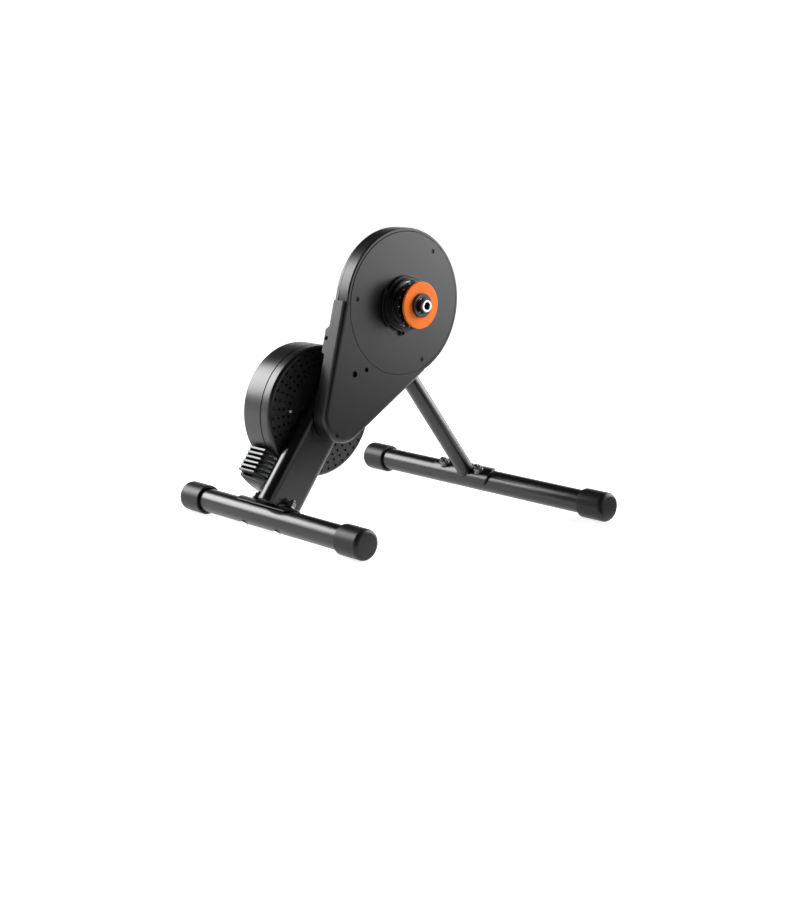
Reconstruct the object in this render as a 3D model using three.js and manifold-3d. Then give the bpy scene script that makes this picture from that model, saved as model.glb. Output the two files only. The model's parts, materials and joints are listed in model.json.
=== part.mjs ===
// Direct drive bike trainer: a bicycle without its rear wheel is clamped on the hub, and its chain
// turns the cog, the belt and a braked flywheel.
// Millimetres, +X to the front wheel, +Y to the rider's left, +Z up. The origin is on the floor
// below the middle of the feet, and the bicycle's middle plane is y = 0.
import * as THREE from "three";
import { mergeVertices } from "three/addons/utils/BufferGeometryUtils.js";
import Module from "manifold-3d";

const wasm = await Module();
wasm.setup();

// Driving dimensions
const GAP = 0.3;
const HUB_HEIGHT = 340;
const HUB_HALF = 71;
const AXLE_BORE = 6.2;
const FRAME_TILT = THREE.MathUtils.degToRad(36.3);
const LEG_TILT = THREE.MathUtils.degToRad(37.8);
const SHAFT_DISTANCE = 206;
const STEM = { x: -2, y: 26, width: 76, thick: 30, corner: 14, wall: 3, low: 15 };
const LEG = { y: 27, radius: 14.3, wall: 2, low: 15, length: 360 };
const FOOT = { height: 23, radius: 19, wall: 2, rearX: -215.5, frontX: 215.5 };
const REAR_FOOT = { low: -191, high: 242 };
const FRONT_FOOT = { low: -280, high: 280 };
const CAP = { radius: 23.5, length: 50, end: 4, fillet: 5 };
const SADDLE = { inner: 19.4, thick: 3, wrap: 63, halfEdge: 49, endBulge: 17, padRadius: 8.7, padHeight: 1 };
const REAR_SADDLE = { y: 46, boltY: 42.5 };
const FRONT_SADDLE = { y: 33, boltY: 34 };
const FOOT_BOLT = { radius: 4, hole: 4.6, gap: 81, end: 36 };
const HOUSING = { topRadius: 121.5, tipRadius: 42.5, face: -18.8, seam: 3, back: 10.5, wall: 3, edge: 4.8 };
const DISC = { rim: 119, cover: 113, bore: 38, thick: 2.6, proud: 0.4, screwCircle: 100, firstScrew: 52 };
const ARM_END = 62;
const TIP_SCREW = SHAFT_DISTANCE + 34;
const CARRIER = { shaft: 23, low: 11, high: 41, shaftHigh: 49 };
const PULLEY = { radius: 88, small: 14, low: -12.5, high: 0.5 };
const BELT = { low: -11, high: -1, thick: 3.2, ribs: 2, ribDepth: 1.6 };
const IDLER = { across: 23.7, down: 144, radius: 17 };
const PIVOT = { across: 6.4, down: 126 };
const BRAKE = { radius: 104, wall: 3, face: 42, seam: 62.8, seamGap: 1, outer: 108, plate: 98 };
const VENT = { rows: 40, rings: 4, firstRing: 65, pitch: 10, radius: 2, sides: 4 };
const FLYWHEEL = { radius: 92, low: 50, high: 72 };
const BOARD = { inner: 68, outer: 94, start: 0.5, end: 2.2, y: 80 };
const SOCKET = { x: -20, z: -78, radius: 6 };
const FIN = { count: 6, pitch: 7.63, thick: 3.4, first: 97.6, reach: 49.3, root: 36 };
const LUG = { top: -100, bottom: -140.5, wall: 7, deep: 16.6, holeY: 11, holeZ: -117.5, hole: 3.5 };
const GUARD_RADIUS = 37;
const COG = { teeth: 14, pitch: 12.7, thick: 2.2, y: -49 };

// Facet counts round a full turn
const LARGE = 40;
const MEDIUM = 20;
const SMALL = 16;
const TINY = 8;

const HUB_X = FOOT.rearX + (HUB_HEIGHT - FOOT.height) * Math.tan(FRAME_TILT);
const STEM_FOOT_DISTANCE = (HUB_HEIGHT - FOOT.height) / Math.cos(FRAME_TILT);

// Colours and finishes
function finish(color, roughness, metalness) {
  return () => new THREE.MeshStandardMaterial({ color, roughness, metalness });
}
const SATIN_PAINT = finish(0x1c1d1f, 0.35, 0.3);
const COVER_PLASTIC = finish(0x4a4b4d, 0.6, 0);
const BAND_PLASTIC = finish(0x2c2d2f, 0.45, 0.1);
const BLACK_PLASTIC = finish(0x141414, 0.6, 0);
const RUBBER = finish(0x17181a, 0.85, 0);
const ORANGE_PLASTIC = finish(0xfd7729, 0.45, 0);
const BRIGHT_STEEL = finish(0xc8cacc, 0.25, 1);
const DARK_STEEL = finish(0x2a2b2e, 0.35, 0.9);
const CAST_METAL = finish(0x77797c, 0.5, 0.8);
const BELT_RUBBER = finish(0x101010, 0.9, 0);
const BOARD_GREEN = finish(0x1d5a34, 0.6, 0);

// Solids: every shape below is a closed geometry, and a boolean takes and gives one
function closedGeometry(positions, indices) {
  const raw = new THREE.BufferGeometry();
  raw.setAttribute("position", new THREE.Float32BufferAttribute(positions, 3));
  raw.setIndex(indices);
  return clean(raw);
}

function signedVolume(position, indices) {
  const [a, b, c] = [new THREE.Vector3(), new THREE.Vector3(), new THREE.Vector3()];
  let volume = 0;
  for (let i = 0; i < indices.length; i += 3) {
    a.fromBufferAttribute(position, indices[i]);
    b.fromBufferAttribute(position, indices[i + 1]);
    c.fromBufferAttribute(position, indices[i + 2]);
    volume += a.dot(b.cross(c)) / 6;
  }
  return volume;
}

function clean(geometry) {
  const bare = geometry.clone();
  bare.deleteAttribute("normal");
  bare.deleteAttribute("uv");
  const merged = mergeVertices(bare, 1e-4);
  const all = merged.index.array;
  const kept = [];
  for (let i = 0; i < all.length; i += 3) {
    const [a, b, c] = [all[i], all[i + 1], all[i + 2]];
    if (a !== b && b !== c && c !== a) kept.push(a, b, c);
  }
  if (signedVolume(merged.getAttribute("position"), kept) < 0) {
    for (let i = 0; i < kept.length; i += 3) [kept[i + 1], kept[i + 2]] = [kept[i + 2], kept[i + 1]];
  }
  merged.setIndex(kept);
  return merged;
}

function toManifold(geometry) {
  const vertProperties = new Float32Array(geometry.getAttribute("position").array);
  const triVerts = new Uint32Array(geometry.index.array);
  return new wasm.Manifold(new wasm.Mesh({ numProp: 3, vertProperties, triVerts }));
}

function fromManifold(solid) {
  const mesh = solid.getMesh();
  return closedGeometry(Array.from(mesh.vertProperties), Array.from(mesh.triVerts));
}

function cut(body, ...tools) {
  return fromManifold(tools.reduce((rest, tool) => rest.subtract(toManifold(tool)), toManifold(body)));
}

function join(...bodies) {
  return fromManifold(bodies.map(toManifold).reduce((sum, body) => sum.add(body)));
}

function meet(a, b) {
  return fromManifold(toManifold(a).intersect(toManifold(b)));
}

// Shape makers
function turned(profile, segments) {
  const points = profile.map(([r, y]) => new THREE.Vector2(r, y));
  if (profile[0][0] > 0) points.push(points[0].clone());
  return clean(new THREE.LatheGeometry(points, segments));
}

function sleeve(inner, outer, low, high, segments) {
  return turned([[inner, low], [outer, low], [outer, high], [inner, high]], segments);
}

function slab(shape, low, high, curveSegments = 8) {
  const body = new THREE.ExtrudeGeometry(shape, { depth: high - low, bevelEnabled: false, curveSegments });
  return clean(body.rotateX(Math.PI / 2).translate(0, high, 0));
}

function prism(shape, low, high, curveSegments = 4) {
  const body = new THREE.ExtrudeGeometry(shape, { depth: high - low, bevelEnabled: false, curveSegments });
  return clean(body.translate(0, 0, low));
}

function block(x, y, z) {
  const body = new THREE.BoxGeometry(x[1] - x[0], y[1] - y[0], z[1] - z[0]);
  return clean(body.translate((x[0] + x[1]) / 2, (y[0] + y[1]) / 2, (z[0] + z[1]) / 2));
}

function drumY(radius, low, high, segments, x = 0, z = 0) {
  const body = new THREE.CylinderGeometry(radius, radius, high - low, segments);
  return clean(body.rotateY(Math.PI / segments).translate(x, (low + high) / 2, z));
}

function drumZ(radius, low, high, segments, x = 0, y = 0) {
  const body = new THREE.CylinderGeometry(radius, radius, high - low, segments);
  return clean(body.rotateX(Math.PI / 2).translate(x, y, (low + high) / 2));
}

function moved(geometry, x, y, z) {
  return geometry.clone().translate(x, y, z);
}

function vectors(points) {
  return points.map(([x, z]) => new THREE.Vector2(x, z));
}

function polygon(points) {
  return new THREE.Shape(vectors(points));
}

function ringPoints(radius, count, start = 0) {
  return Array.from({ length: count }, (_, i) => {
    const angle = start + (i * 2 * Math.PI) / count;
    return [radius * Math.cos(angle), radius * Math.sin(angle)];
  });
}

// Joins equal rings of points into a skin; wrapped makes the last ring meet the first
function loft(rings, wrapped) {
  const size = rings[0].length;
  const positions = rings.flat().flatMap((point) => point.toArray());
  const indices = [];
  const spans = wrapped ? rings.length : rings.length - 1;
  for (let i = 0; i < spans; i += 1) {
    for (let j = 0; j < size; j += 1) {
      const [a, b] = [i * size + j, i * size + ((j + 1) % size)];
      const next = ((i + 1) % rings.length) * size;
      const [c, d] = [next + j, next + ((j + 1) % size)];
      indices.push(a, b, d, a, d, c);
    }
  }
  if (!wrapped) {
    const outline = rings[0].map((point) => new THREE.Vector2(point.x, point.z));
    const last = (rings.length - 1) * size;
    for (const [a, b, c] of THREE.ShapeUtils.triangulateShape(outline, [])) {
      indices.push(a, c, b, last + a, last + b, last + c);
    }
  }
  return closedGeometry(positions, indices);
}

function piece(parent, name, geometry, material) {
  const mesh = new THREE.Mesh(geometry, material());
  mesh.name = name;
  parent.add(mesh);
}

function frameAt(parent, x, y, z, turn = 0) {
  const frame = new THREE.Group();
  frame.position.set(x, y, z);
  frame.rotation.y = turn;
  parent.add(frame);
  return frame;
}

function relativeMatrix(from, to) {
  from.updateWorldMatrix(true, false);
  to.updateWorldMatrix(true, false);
  return to.matrixWorld.clone().invert().multiply(from.matrixWorld);
}

// Feet: a straight tube with a rubber cap on each end, drilled for the saddle's two bolts
function boltPlaces(saddle) {
  return { right: saddle.boltY - FOOT_BOLT.gap / 2, left: saddle.boltY + FOOT_BOLT.gap / 2 };
}

function boltDrills(saddle) {
  return Object.values(boltPlaces(saddle)).map((y) => drumZ(FOOT_BOLT.hole, -30, 30, TINY, 0, y));
}

function footTube(span, saddle, tilt) {
  const inset = CAP.end + GAP;
  const tube = sleeve(FOOT.radius - FOOT.wall, FOOT.radius, span.low + inset, span.high - inset, MEDIUM);
  return cut(tube, ...boltDrills(saddle).map((drill) => drill.rotateY(tilt)));
}

function footCap(end, towards) {
  const { radius, length, end: wall, fillet } = CAP;
  const bore = FOOT.radius + GAP;
  const profile = [
    [0, wall], [bore, wall], [bore, length], [radius, length],
    [radius, fillet], [radius - fillet * 0.3, fillet * 0.3], [radius - fillet, 0], [0, 0],
  ];
  const cap = turned(profile.map(([r, y]) => [r, end - towards * y]), MEDIUM);
  return cut(cap, block([-15, 15], [end - 60, end + 60], [-30, -FOOT.height]));
}

// Saddles: a pressed strip that hugs the foot's tube, with bowed ends and a flat pad under each nut
function saddleStrip(saddle) {
  const { inner, thick, wrap, halfEdge, endBulge, padRadius, padHeight } = SADDLE;
  const [outer, angle] = [inner + thick, THREE.MathUtils.degToRad(wrap)];
  const profile = new THREE.Shape();
  profile.absarc(0, 0, outer, Math.PI / 2 - angle, Math.PI / 2 + angle);
  profile.absarc(0, 0, inner, Math.PI / 2 + angle, Math.PI / 2 - angle, true);
  const halfWidth = outer * Math.sin(angle) + 0.5;
  const plan = new THREE.Shape();
  plan.absellipse(0, saddle.y + halfEdge, halfWidth, endBulge, 0, Math.PI);
  plan.absellipse(0, saddle.y - halfEdge, halfWidth, endBulge, Math.PI, 2 * Math.PI);
  const strip = meet(slab(profile, saddle.y - 80, saddle.y + 80, 6), prism(plan, 0, 40, 5));
  const pads = Object.values(boltPlaces(saddle)).map((y) => drumZ(padRadius, 10, outer + padHeight, 12, 0, y));
  const underPads = drumY(inner + 1, -90, 130, MEDIUM);
  return cut(join(strip, ...pads.map((pad) => cut(pad, underPads))), ...boltDrills(saddle));
}

function footBolt(y) {
  const { radius, end } = FOOT_BOLT;
  const head = [[0, -23.2], [3, -22.9], [5.6, -21.6], [7, -19.5], [radius, -19.5], [radius, end - 1], [radius - 1, end],
    [0, end]];
  return moved(turned(head, TINY).rotateX(Math.PI / 2), 0, y, 0);
}

function flangeNut(y) {
  const bottom = SADDLE.inner + SADDLE.thick + SADDLE.padHeight + GAP;
  const flange = turned([[0, bottom], [8.4, bottom], [8.4, bottom + 0.8], [6, bottom + 2.4], [0, bottom + 2.4]], 12);
  const nut = join(flange.rotateX(Math.PI / 2), prism(polygon(ringPoints(7.5, 6)), bottom + 1, bottom + 8.4));
  return moved(cut(nut, drumZ(FOOT_BOLT.radius + 2 * GAP, 0, 60, TINY)), 0, y, 0);
}

// Frame members
function roundedSection(width, thick, corner) {
  const shape = new THREE.Shape();
  const [w, t] = [width / 2 - corner, thick / 2 - corner];
  shape.absarc(w, -t, corner, -Math.PI / 2, 0);
  shape.absarc(w, t, corner, 0, Math.PI / 2);
  shape.absarc(-w, t, corner, Math.PI / 2, Math.PI);
  shape.absarc(-w, -t, corner, Math.PI, Math.PI * 1.5);
  return shape;
}

function stemSolid(grow) {
  const { x, y, width, thick, corner, low } = STEM;
  const section = roundedSection(width + 2 * grow, thick + 2 * grow, corner);
  return moved(prism(section, low - STEM_FOOT_DISTANCE - grow, 0), x, y, 0);
}

function tubeSeat(z = 0) {
  return drumY(SADDLE.inner + SADDLE.thick + 2 * GAP, -60, 60, MEDIUM, 0, z);
}

// The stem is a weldment: the box tube ends in a round eye for the hub, and a carrier tube for the
// flywheel's bearings crosses it
function mainStem() {
  const { x, y, width, thick, corner, wall } = STEM;
  const { shaft, low, high, shaftHigh } = CARRIER;
  const bore = roundedSection(width - 2 * wall, thick - 2 * wall, corner - wall);
  const hollow = moved(prism(bore, -STEM_FOOT_DISTANCE, -width / 2), x, y, 0);
  const cope = drumY(shaft - 1, 0, 60, MEDIUM, 0, -SHAFT_DISTANCE);
  const [rim, soft] = [width / 2, 4];
  const eye = turned([[0, low], [rim - soft, low], [rim, low + soft], [rim, high - soft], [rim - soft, high], [0, high]], 32);
  const carrier = moved(sleeve(18, shaft, low, shaftHigh, MEDIUM), 0, 0, -SHAFT_DISTANCE);
  const box = cut(stemSolid(0), hollow, cope, tubeSeat(-STEM_FOOT_DISTANCE));
  return cut(join(box, moved(eye, x, 0, 0), carrier), drumY(7.8, 0, 60, SMALL));
}

function frontLeg(legFrame, stemFrame) {
  const stem = stemSolid(GAP).applyMatrix4(relativeMatrix(stemFrame, legFrame));
  const body = cut(drumZ(LEG.radius, LEG.low, LEG.length, MEDIUM), stem, tubeSeat());
  return cut(body, drumZ(LEG.radius - LEG.wall, LEG.low - 1, LEG.length + 1, MEDIUM));
}

// Belt housing: the outline is the tangent hull of a large circle round the hub and a small one
// round the flywheel's shaft, drawn in the stem's frame
function hullOutline(offset, y) {
  const [bigSteps, tipSteps] = [24, 9];
  const big = HOUSING.topRadius + offset;
  const tip = HOUSING.tipRadius + offset;
  const lean = Math.asin((big - tip) / SHAFT_DISTANCE);
  const points = [];
  for (let i = 0; i <= bigSteps; i += 1) {
    const angle = -lean + (i * (Math.PI + 2 * lean)) / bigSteps;
    points.push(new THREE.Vector3(big * Math.cos(angle), y, big * Math.sin(angle)));
  }
  for (let i = 0; i <= tipSteps; i += 1) {
    const angle = Math.PI + lean + (i * (Math.PI - 2 * lean)) / tipSteps;
    points.push(new THREE.Vector3(tip * Math.cos(angle), y, -SHAFT_DISTANCE + tip * Math.sin(angle)));
  }
  return points;
}

// The flank of the hull that faces the bicycle's rear: its lean, and the x of a point on it
const FLANK_LEAN = Math.asin((HOUSING.topRadius - HOUSING.tipRadius) / SHAFT_DISTANCE);

function flankX(z) {
  return -(HOUSING.topRadius + z * Math.sin(FLANK_LEAN)) / Math.cos(FLANK_LEAN);
}

// The lug is a stretch of the rear flank's wall that reaches deeper towards the stem
function flankLug() {
  const { top, bottom, wall, deep } = LUG;
  const [dx, dz] = [wall * Math.cos(FLANK_LEAN), wall * Math.sin(FLANK_LEAN)];
  const [high, low] = [[flankX(top), top], [flankX(bottom), bottom]];
  const plan = polygon([high, low, [low[0] + dx, low[1] + dz], [high[0] + dx, high[1] + dz]]);
  const side = polygon([[top + wall, HOUSING.seam], [top, 10], [top - 4.4, deep - 0.8], [top - 6, deep],
    [bottom + 3, deep], [bottom + 1, deep - 3], [bottom, HOUSING.seam]]);
  return meet(slab(plan, HOUSING.seam, deep + 1), prism(side, 50, 110).rotateY(-Math.PI / 2));
}

function lugHole() {
  const drill = drumZ(LUG.hole, -3, LUG.wall + 0.5, 12).rotateY(Math.PI / 2 - FLANK_LEAN);
  return moved(drill, flankX(LUG.holeZ), LUG.holeY, LUG.holeZ);
}

function aboveArms() {
  return block([-140, 140], [-40, 40], [-ARM_END, 140]);
}

function coverLower() {
  const { face, seam, wall, edge } = HOUSING;
  const rings = [hullOutline(0, seam - GAP), hullOutline(0, face + edge)];
  for (const angle of [Math.PI / 4, Math.PI / 2]) {
    rings.push(hullOutline(-edge * (1 - Math.cos(angle)), face + edge * (1 - Math.sin(angle))));
  }
  const inside = [hullOutline(-wall, seam + 1), hullOutline(-wall, face + wall)];
  const discSeat = drumY(DISC.cover + 0.6, -40, 40, LARGE);
  const shell = cut(loft(rings, false), loft(inside, false), discSeat, aboveArms());
  return cut(
    shell,
    drumY(4.8, -40, 0, 12, -IDLER.across, -IDLER.down),
    drumY(3.4, -40, 0, TINY, -PIVOT.across, -PIVOT.down),
    drumY(3.3, -40, 0, TINY, 0, -TIP_SCREW),
  );
}

function discScrewPlaces() {
  return ringPoints(DISC.screwCircle, 3, THREE.MathUtils.degToRad(DISC.firstScrew) + FRAME_TILT);
}

function coverDisc() {
  const front = HOUSING.face - DISC.proud;
  const plate = sleeve(DISC.bore, DISC.cover, front, front + DISC.thick, LARGE);
  return cut(plate, ...discScrewPlaces().map(([x, z]) => drumY(3.3, -40, 0, TINY, x, z)));
}

function housingBack() {
  const { seam, back, face } = HOUSING;
  const plate = loft([hullOutline(-5.5, back), hullOutline(-2.5, back - 3), hullOutline(-2.5, seam)], false);
  const flange = cut(loft([hullOutline(-2, back), hullOutline(0, back - 2), hullOutline(0, seam)], false), aboveArms());
  const rim = turned([[DISC.cover + 0.6, face], [DISC.rim - 1.2, face], [DISC.rim, face + 1.2],
    [DISC.rim, seam + 1], [DISC.cover + 0.6, seam + 1]], LARGE);
  const below = block([-140, 140], [-40, seam], [-140, -ARM_END + GAP]);
  const places = [...discScrewPlaces(), [0, -TIP_SCREW]];
  const posts = places.map(([x, z]) => drumY(5, face + 3.6, seam + 1, TINY, x, z));
  const body = join(plate, flange, cut(rim, below), ...posts, flankLug());
  return cut(
    body,
    ...places.map(([x, z]) => drumY(2.2, -40, -4, TINY, x, z)),
    drumY(21.5, -10, 40, MEDIUM),
    drumY(11, -10, 40, SMALL, 0, -SHAFT_DISTANCE),
    lugHole(),
  );
}

function coverScrew([x, z]) {
  const head = HOUSING.face + 1.2;
  const seat = HOUSING.face + 3.3;
  const profile = [[0, head], [2.8, head], [2.8, seat], [1.7, seat], [1.7, seat + 8], [0, seat + 8]];
  return moved(turned(profile, TINY), x, 0, z);
}

// Hub: fixed axle, end caps and the collar that rings the turning drum
function collarSector(radius, from, to) {
  const [start, end] = [THREE.MathUtils.degToRad(from), THREE.MathUtils.degToRad(to)];
  const shape = new THREE.Shape();
  shape.absarc(0, 0, radius, start, end);
  shape.absarc(0, 0, 42, end, start, true);
  return slab(shape, -23.4, -19.5, 6);
}

function hubCollar() {
  const profile = [[37.6, -19.5], [44.6, -19.5], [44.6, -24.8], [40, -24.8], [40, -30.2], [37.6, -30.2]];
  const [earX, earZ] = [-7, -46];
  const ear = drumY(4.6, -23.4, -19.5, 12, earX, earZ);
  const ring = join(turned(profile, 32), collarSector(50.5, 149, 222), ear);
  return cut(ring, drumY(2.2, -40, 0, TINY, earX, earZ));
}

function endCap(side) {
  const end = HUB_HALF;
  const profile = [[7.8, end - 4.7], [9.5, end - 4.7], [9.5, end - 0.6], [8.9, end], [AXLE_BORE, end],
    [AXLE_BORE, end - 1.7], [7.8, end - 1.7]];
  return turned(profile.map(([r, y]) => [r, side * y]), 20);
}

function axleLocknut() {
  const rim = ringPoints(12, 24).map(([x, z], i) => (i % 2 ? [x, z] : [x * 0.92, z * 0.92]));
  return cut(slab(polygon(rim), -66, -61.9), drumY(7.8, -70, -60, SMALL));
}

// Poly-V pulleys and belt share the rib pitch
function ribSteps(low, high, base, depth) {
  const pitch = (high - low) / BELT.ribs;
  const points = Array.from({ length: BELT.ribs }, (_, i) => [
    [base, low + pitch * i],
    [base + depth, low + pitch * (i + 0.5)],
  ]).flat();
  return [...points, [base, high]];
}

function drivePulley() {
  const { radius, low, high } = PULLEY;
  const grooves = ribSteps(BELT.low, BELT.high, radius, -BELT.ribDepth).reverse();
  const drum = { outer: 36.5, front: -34, inner: 23 };
  const profile = [
    [14.3, 6], [20, 6], [20, -4], [81, -4], [81, high], [radius, high], ...grooves,
    [radius, low], [81, low], [81, -8], [drum.outer, -8], [drum.outer, drum.front],
    [drum.inner, drum.front], [drum.inner, -22.5], [14.3, -22.5],
  ];
  return turned(profile, 32);
}

function smallPulley() {
  const lip = PULLEY.small + 1.2;
  const grooves = ribSteps(BELT.low, BELT.high, PULLEY.small, -BELT.ribDepth).reverse();
  return turned([[7.4, PULLEY.high], [lip, PULLEY.high], ...grooves, [lip, PULLEY.low], [7.4, PULLEY.low]], SMALL);
}

// The belt's path: the outer hull of the two pulleys and the idler, as arcs joined by tangents
function beltPath() {
  const circles = [
    { x: 0, z: 0, r: PULLEY.radius + 0.75, steps: 24 },
    { x: -IDLER.across, z: -IDLER.down, r: IDLER.radius + BELT.ribDepth, steps: 3 },
    { x: 0, z: -SHAFT_DISTANCE, r: PULLEY.small + 0.75, steps: 6 },
  ];
  const normals = circles.map((from, i) => {
    const to = circles[(i + 1) % circles.length];
    const [dx, dz] = [to.x - from.x, to.z - from.z];
    return Math.atan2(dz, dx) - Math.acos((from.r - to.r) / Math.hypot(dx, dz));
  });
  return circles.flatMap((circle, i) => {
    const start = normals[(i + circles.length - 1) % circles.length];
    const sweep = THREE.MathUtils.euclideanModulo(normals[i] - start, 2 * Math.PI);
    return Array.from({ length: circle.steps + 1 }, (_, k) => {
      return { circle, angle: start + (sweep * k) / circle.steps };
    });
  });
}

function driveBelt() {
  const [low, high] = [BELT.low + 0.2, BELT.high - 0.2];
  const back = BELT.thick - BELT.ribDepth;
  const section = [...ribSteps(low, high, 0, -BELT.ribDepth * 0.75), [back, high], [back, low]];
  const rings = beltPath().map(({ circle, angle }) => section.map(([out, y]) => {
    const radius = circle.r + out;
    return new THREE.Vector3(circle.x + radius * Math.cos(angle), y, circle.z + radius * Math.sin(angle));
  }));
  return loft(rings, true);
}

// Tensioner: a short arm that swings on its pivot and carries the idler on a riveted pin
function tensionerArm() {
  const [ax, az, bx, bz] = [-PIVOT.across, -PIVOT.down, -IDLER.across, -IDLER.down];
  const lean = Math.atan2(bz - az, bx - ax);
  const shape = new THREE.Shape();
  shape.absarc(ax, az, 9, lean + Math.PI / 2, lean + Math.PI * 1.5);
  shape.absarc(bx, bz, 8, lean - Math.PI / 2, lean + Math.PI / 2);
  const pin = turned([[0, -14], [6.4, -14], [6.4, -11], [4.2, -11], [4.2, 0], [0, 0]], 12);
  return cut(join(slab(shape, -1, 2.4, 6), moved(pin, bx, 0, bz)), drumY(4.4, -20, 20, 12, ax, az));
}

function idlerRoller() {
  return moved(sleeve(4.6, IDLER.radius, -10.6, -1.6, 20), -IDLER.across, 0, -IDLER.down);
}

function tensionerBolt() {
  const profile = [[0, -6], [6, -6], [6, -1.4], [4, -1.4], [4, 2.6], [0, 2.6]];
  return moved(turned(profile, 12), -PIVOT.across, 0, -PIVOT.down);
}

// Freehub and the single cog between its two chain guards
function freehubBody() {
  const profile = [[11.3, -24], [21, -24], [21, -32.8], [17, -33.4], [17, -57], [11.3, -57]];
  const splines = ringPoints(17.6, 9).map(([x, z]) => drumY(1.7, -60, -35, 4, x, z));
  return cut(turned(profile, MEDIUM), ...splines);
}

function cogOutline() {
  const pitchRadius = COG.pitch / (2 * Math.sin(Math.PI / COG.teeth));
  const tooth = [[-0.5, -3.3], [-0.3, -3.0], [-0.17, 0.6], [-0.07, 3.1], [0.07, 3.1], [0.17, 0.6], [0.3, -3.0]];
  return polygon(Array.from({ length: COG.teeth }, (_, i) => tooth.map(([turn, out]) => {
    const angle = ((i + turn) * 2 * Math.PI) / COG.teeth;
    return [(pitchRadius + out) * Math.cos(angle), (pitchRadius + out) * Math.sin(angle)];
  })).flat());
}

function cogSolid() {
  const plate = slab(cogOutline(), COG.y - COG.thick / 2, COG.y + COG.thick / 2);
  return cut(join(plate, drumY(22, -52.7, -45.3, MEDIUM)), drumY(17.6, -60, -40, MEDIUM));
}

function innerGuard() {
  return turned([[17.5, -45], [38, -45], [38.6, -44.4], [38.6, -42.3], [34, -42.3], [34, -34.4], [17.5, -34.4]], 36);
}

function outerGuard() {
  const rim = GUARD_RADIUS;
  return turned([[17.5, -57], [rim - 1, -57], [rim, -56], [rim, -53], [17.5, -53]], 36);
}

function lockring() {
  const ring = turned([[12.2, -57.3], [19, -57.3], [19, -60.8], [18.2, -61.6], [12.2, -61.6]], MEDIUM);
  return cut(ring, ...ringPoints(12.4, 6).map(([x, z]) => drumY(1, -70, -59, 4, x, z)));
}

// Brake unit round the flywheel
const WINDOW_ANGLES = [109.6, 115.4].map((degrees) => THREE.MathUtils.degToRad(degrees) + FRAME_TILT);

function rimBlock(angle, low, high, y, half) {
  return block([low, high], y, [-half, half]).rotateY(-angle);
}

function brakeCoverInner() {
  const { radius, wall, face, seam, plate } = BRAKE;
  const lip = plate + GAP;
  const profile = [[radius - wall, seam], [radius, seam], [radius, face + 6], [radius - 1.5, face + 2], [radius - 4.5, face],
    [lip, face], [lip, face + 3], [plate - 4, face + 3], [plate - 4, face + 5.5], [radius - wall, face + 5.5]];
  const windows = WINDOW_ANGLES.map((angle) => rimBlock(angle, 96, 110, [48.7, 52.8], 1.9));
  return cut(turned(profile, LARGE), ...windows);
}

function statusLight() {
  const middle = (WINDOW_ANGLES[0] + WINDOW_ANGLES[1]) / 2;
  const windows = WINDOW_ANGLES.map((angle) => rimBlock(angle, 98, BRAKE.radius - 0.2, [49, 52.5], 1.6));
  return join(rimBlock(middle, 97, 100.2, [49, 52.5], 7.5), ...windows);
}

function plateScrewPlaces() {
  return [[-53.4, -29.8], [53.4, 29.8]];
}

function ventPlate() {
  const shape = polygon(ringPoints(BRAKE.plate, LARGE));
  const addHole = (points) => shape.holes.push(new THREE.Path(vectors(points)));
  addHole(ringPoints(CARRIER.shaft + 3 * GAP, MEDIUM));
  for (let row = 0; row < VENT.rows; row += 1) {
    const angle = (row * 2 * Math.PI) / VENT.rows + FRAME_TILT;
    for (let ring = 0; ring < VENT.rings; ring += 1) {
      const radius = VENT.firstRing + VENT.pitch * ring;
      const [x, z] = [radius * Math.cos(angle), radius * Math.sin(angle)];
      const nearScrew = plateScrewPlaces().some(([sx, sz]) => Math.hypot(x - sx, z - sz) < 6);
      if (!nearScrew) addHole(ringPoints(VENT.radius, VENT.sides).map(([a, b]) => [x + a, z + b]));
    }
  }
  const plate = slab(shape, BRAKE.face + 0.4, BRAKE.face + 2.6);
  return cut(plate, ...plateScrewPlaces().map(([x, z]) => drumY(1.9, 30, 50, TINY, x, z)));
}

function plateScrew([x, z]) {
  const seat = BRAKE.face + 0.1;
  const profile = [[0, seat - 1.8], [2, seat - 1.6], [3, seat - 0.4], [3, seat], [1.5, seat], [1.5, seat + 4], [0, seat + 4]];
  return moved(turned(profile, TINY), x, 0, z);
}

function brakeCoverOuter() {
  const { radius, wall, seam, seamGap, outer } = BRAKE;
  const low = seam + seamGap;
  const inside = radius - wall;
  const profile = [[0, outer], [radius - 5, outer], [radius - 1.4, outer - 1.4], [radius, outer - 5], [radius, low],
    [inside, low], [inside, outer - 7], [inside - 4, outer - wall], [0, outer - wall]];
  const statorPosts = ringPoints(55, 3, Math.PI / 2).map(([x, z]) => drumY(4, 91.3, outer - 2, TINY, x, z));
  const boardPosts = [BOARD.start + 0.2, BOARD.end - 0.2].map((angle) => {
    const radiusHere = BOARD.outer - 6;
    return drumY(3, BOARD.y + 1.9, outer - 2, TINY, radiusHere * Math.cos(angle), radiusHere * Math.sin(angle));
  });
  const socketHole = drumY(SOCKET.radius + GAP, 80, BRAKE.outer + 5, SMALL, SOCKET.x, SOCKET.z);
  return cut(join(turned(profile, LARGE), ...statorPosts, ...boardPosts), socketHole);
}

function powerSocket() {
  const { x, z, radius } = SOCKET;
  const [back, rim, floor] = [88, BRAKE.outer - 0.2, BRAKE.outer - 9];
  const profile = [[0, back], [radius, back], [radius, rim], [4.5, rim], [4.5, floor], [1, floor], [1, rim - 1],
    [0, rim - 1]];
  return moved(turned(profile, SMALL), x, 0, z);
}

function flywheelDisc() {
  const { radius, low, high } = FLYWHEEL;
  const profile = [[8.9, low], [22, low], [25, low + 6], [54, low + 6], [59, low], [radius, low], [radius, high],
    [8.9, high]];
  return turned(profile, 32);
}

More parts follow.
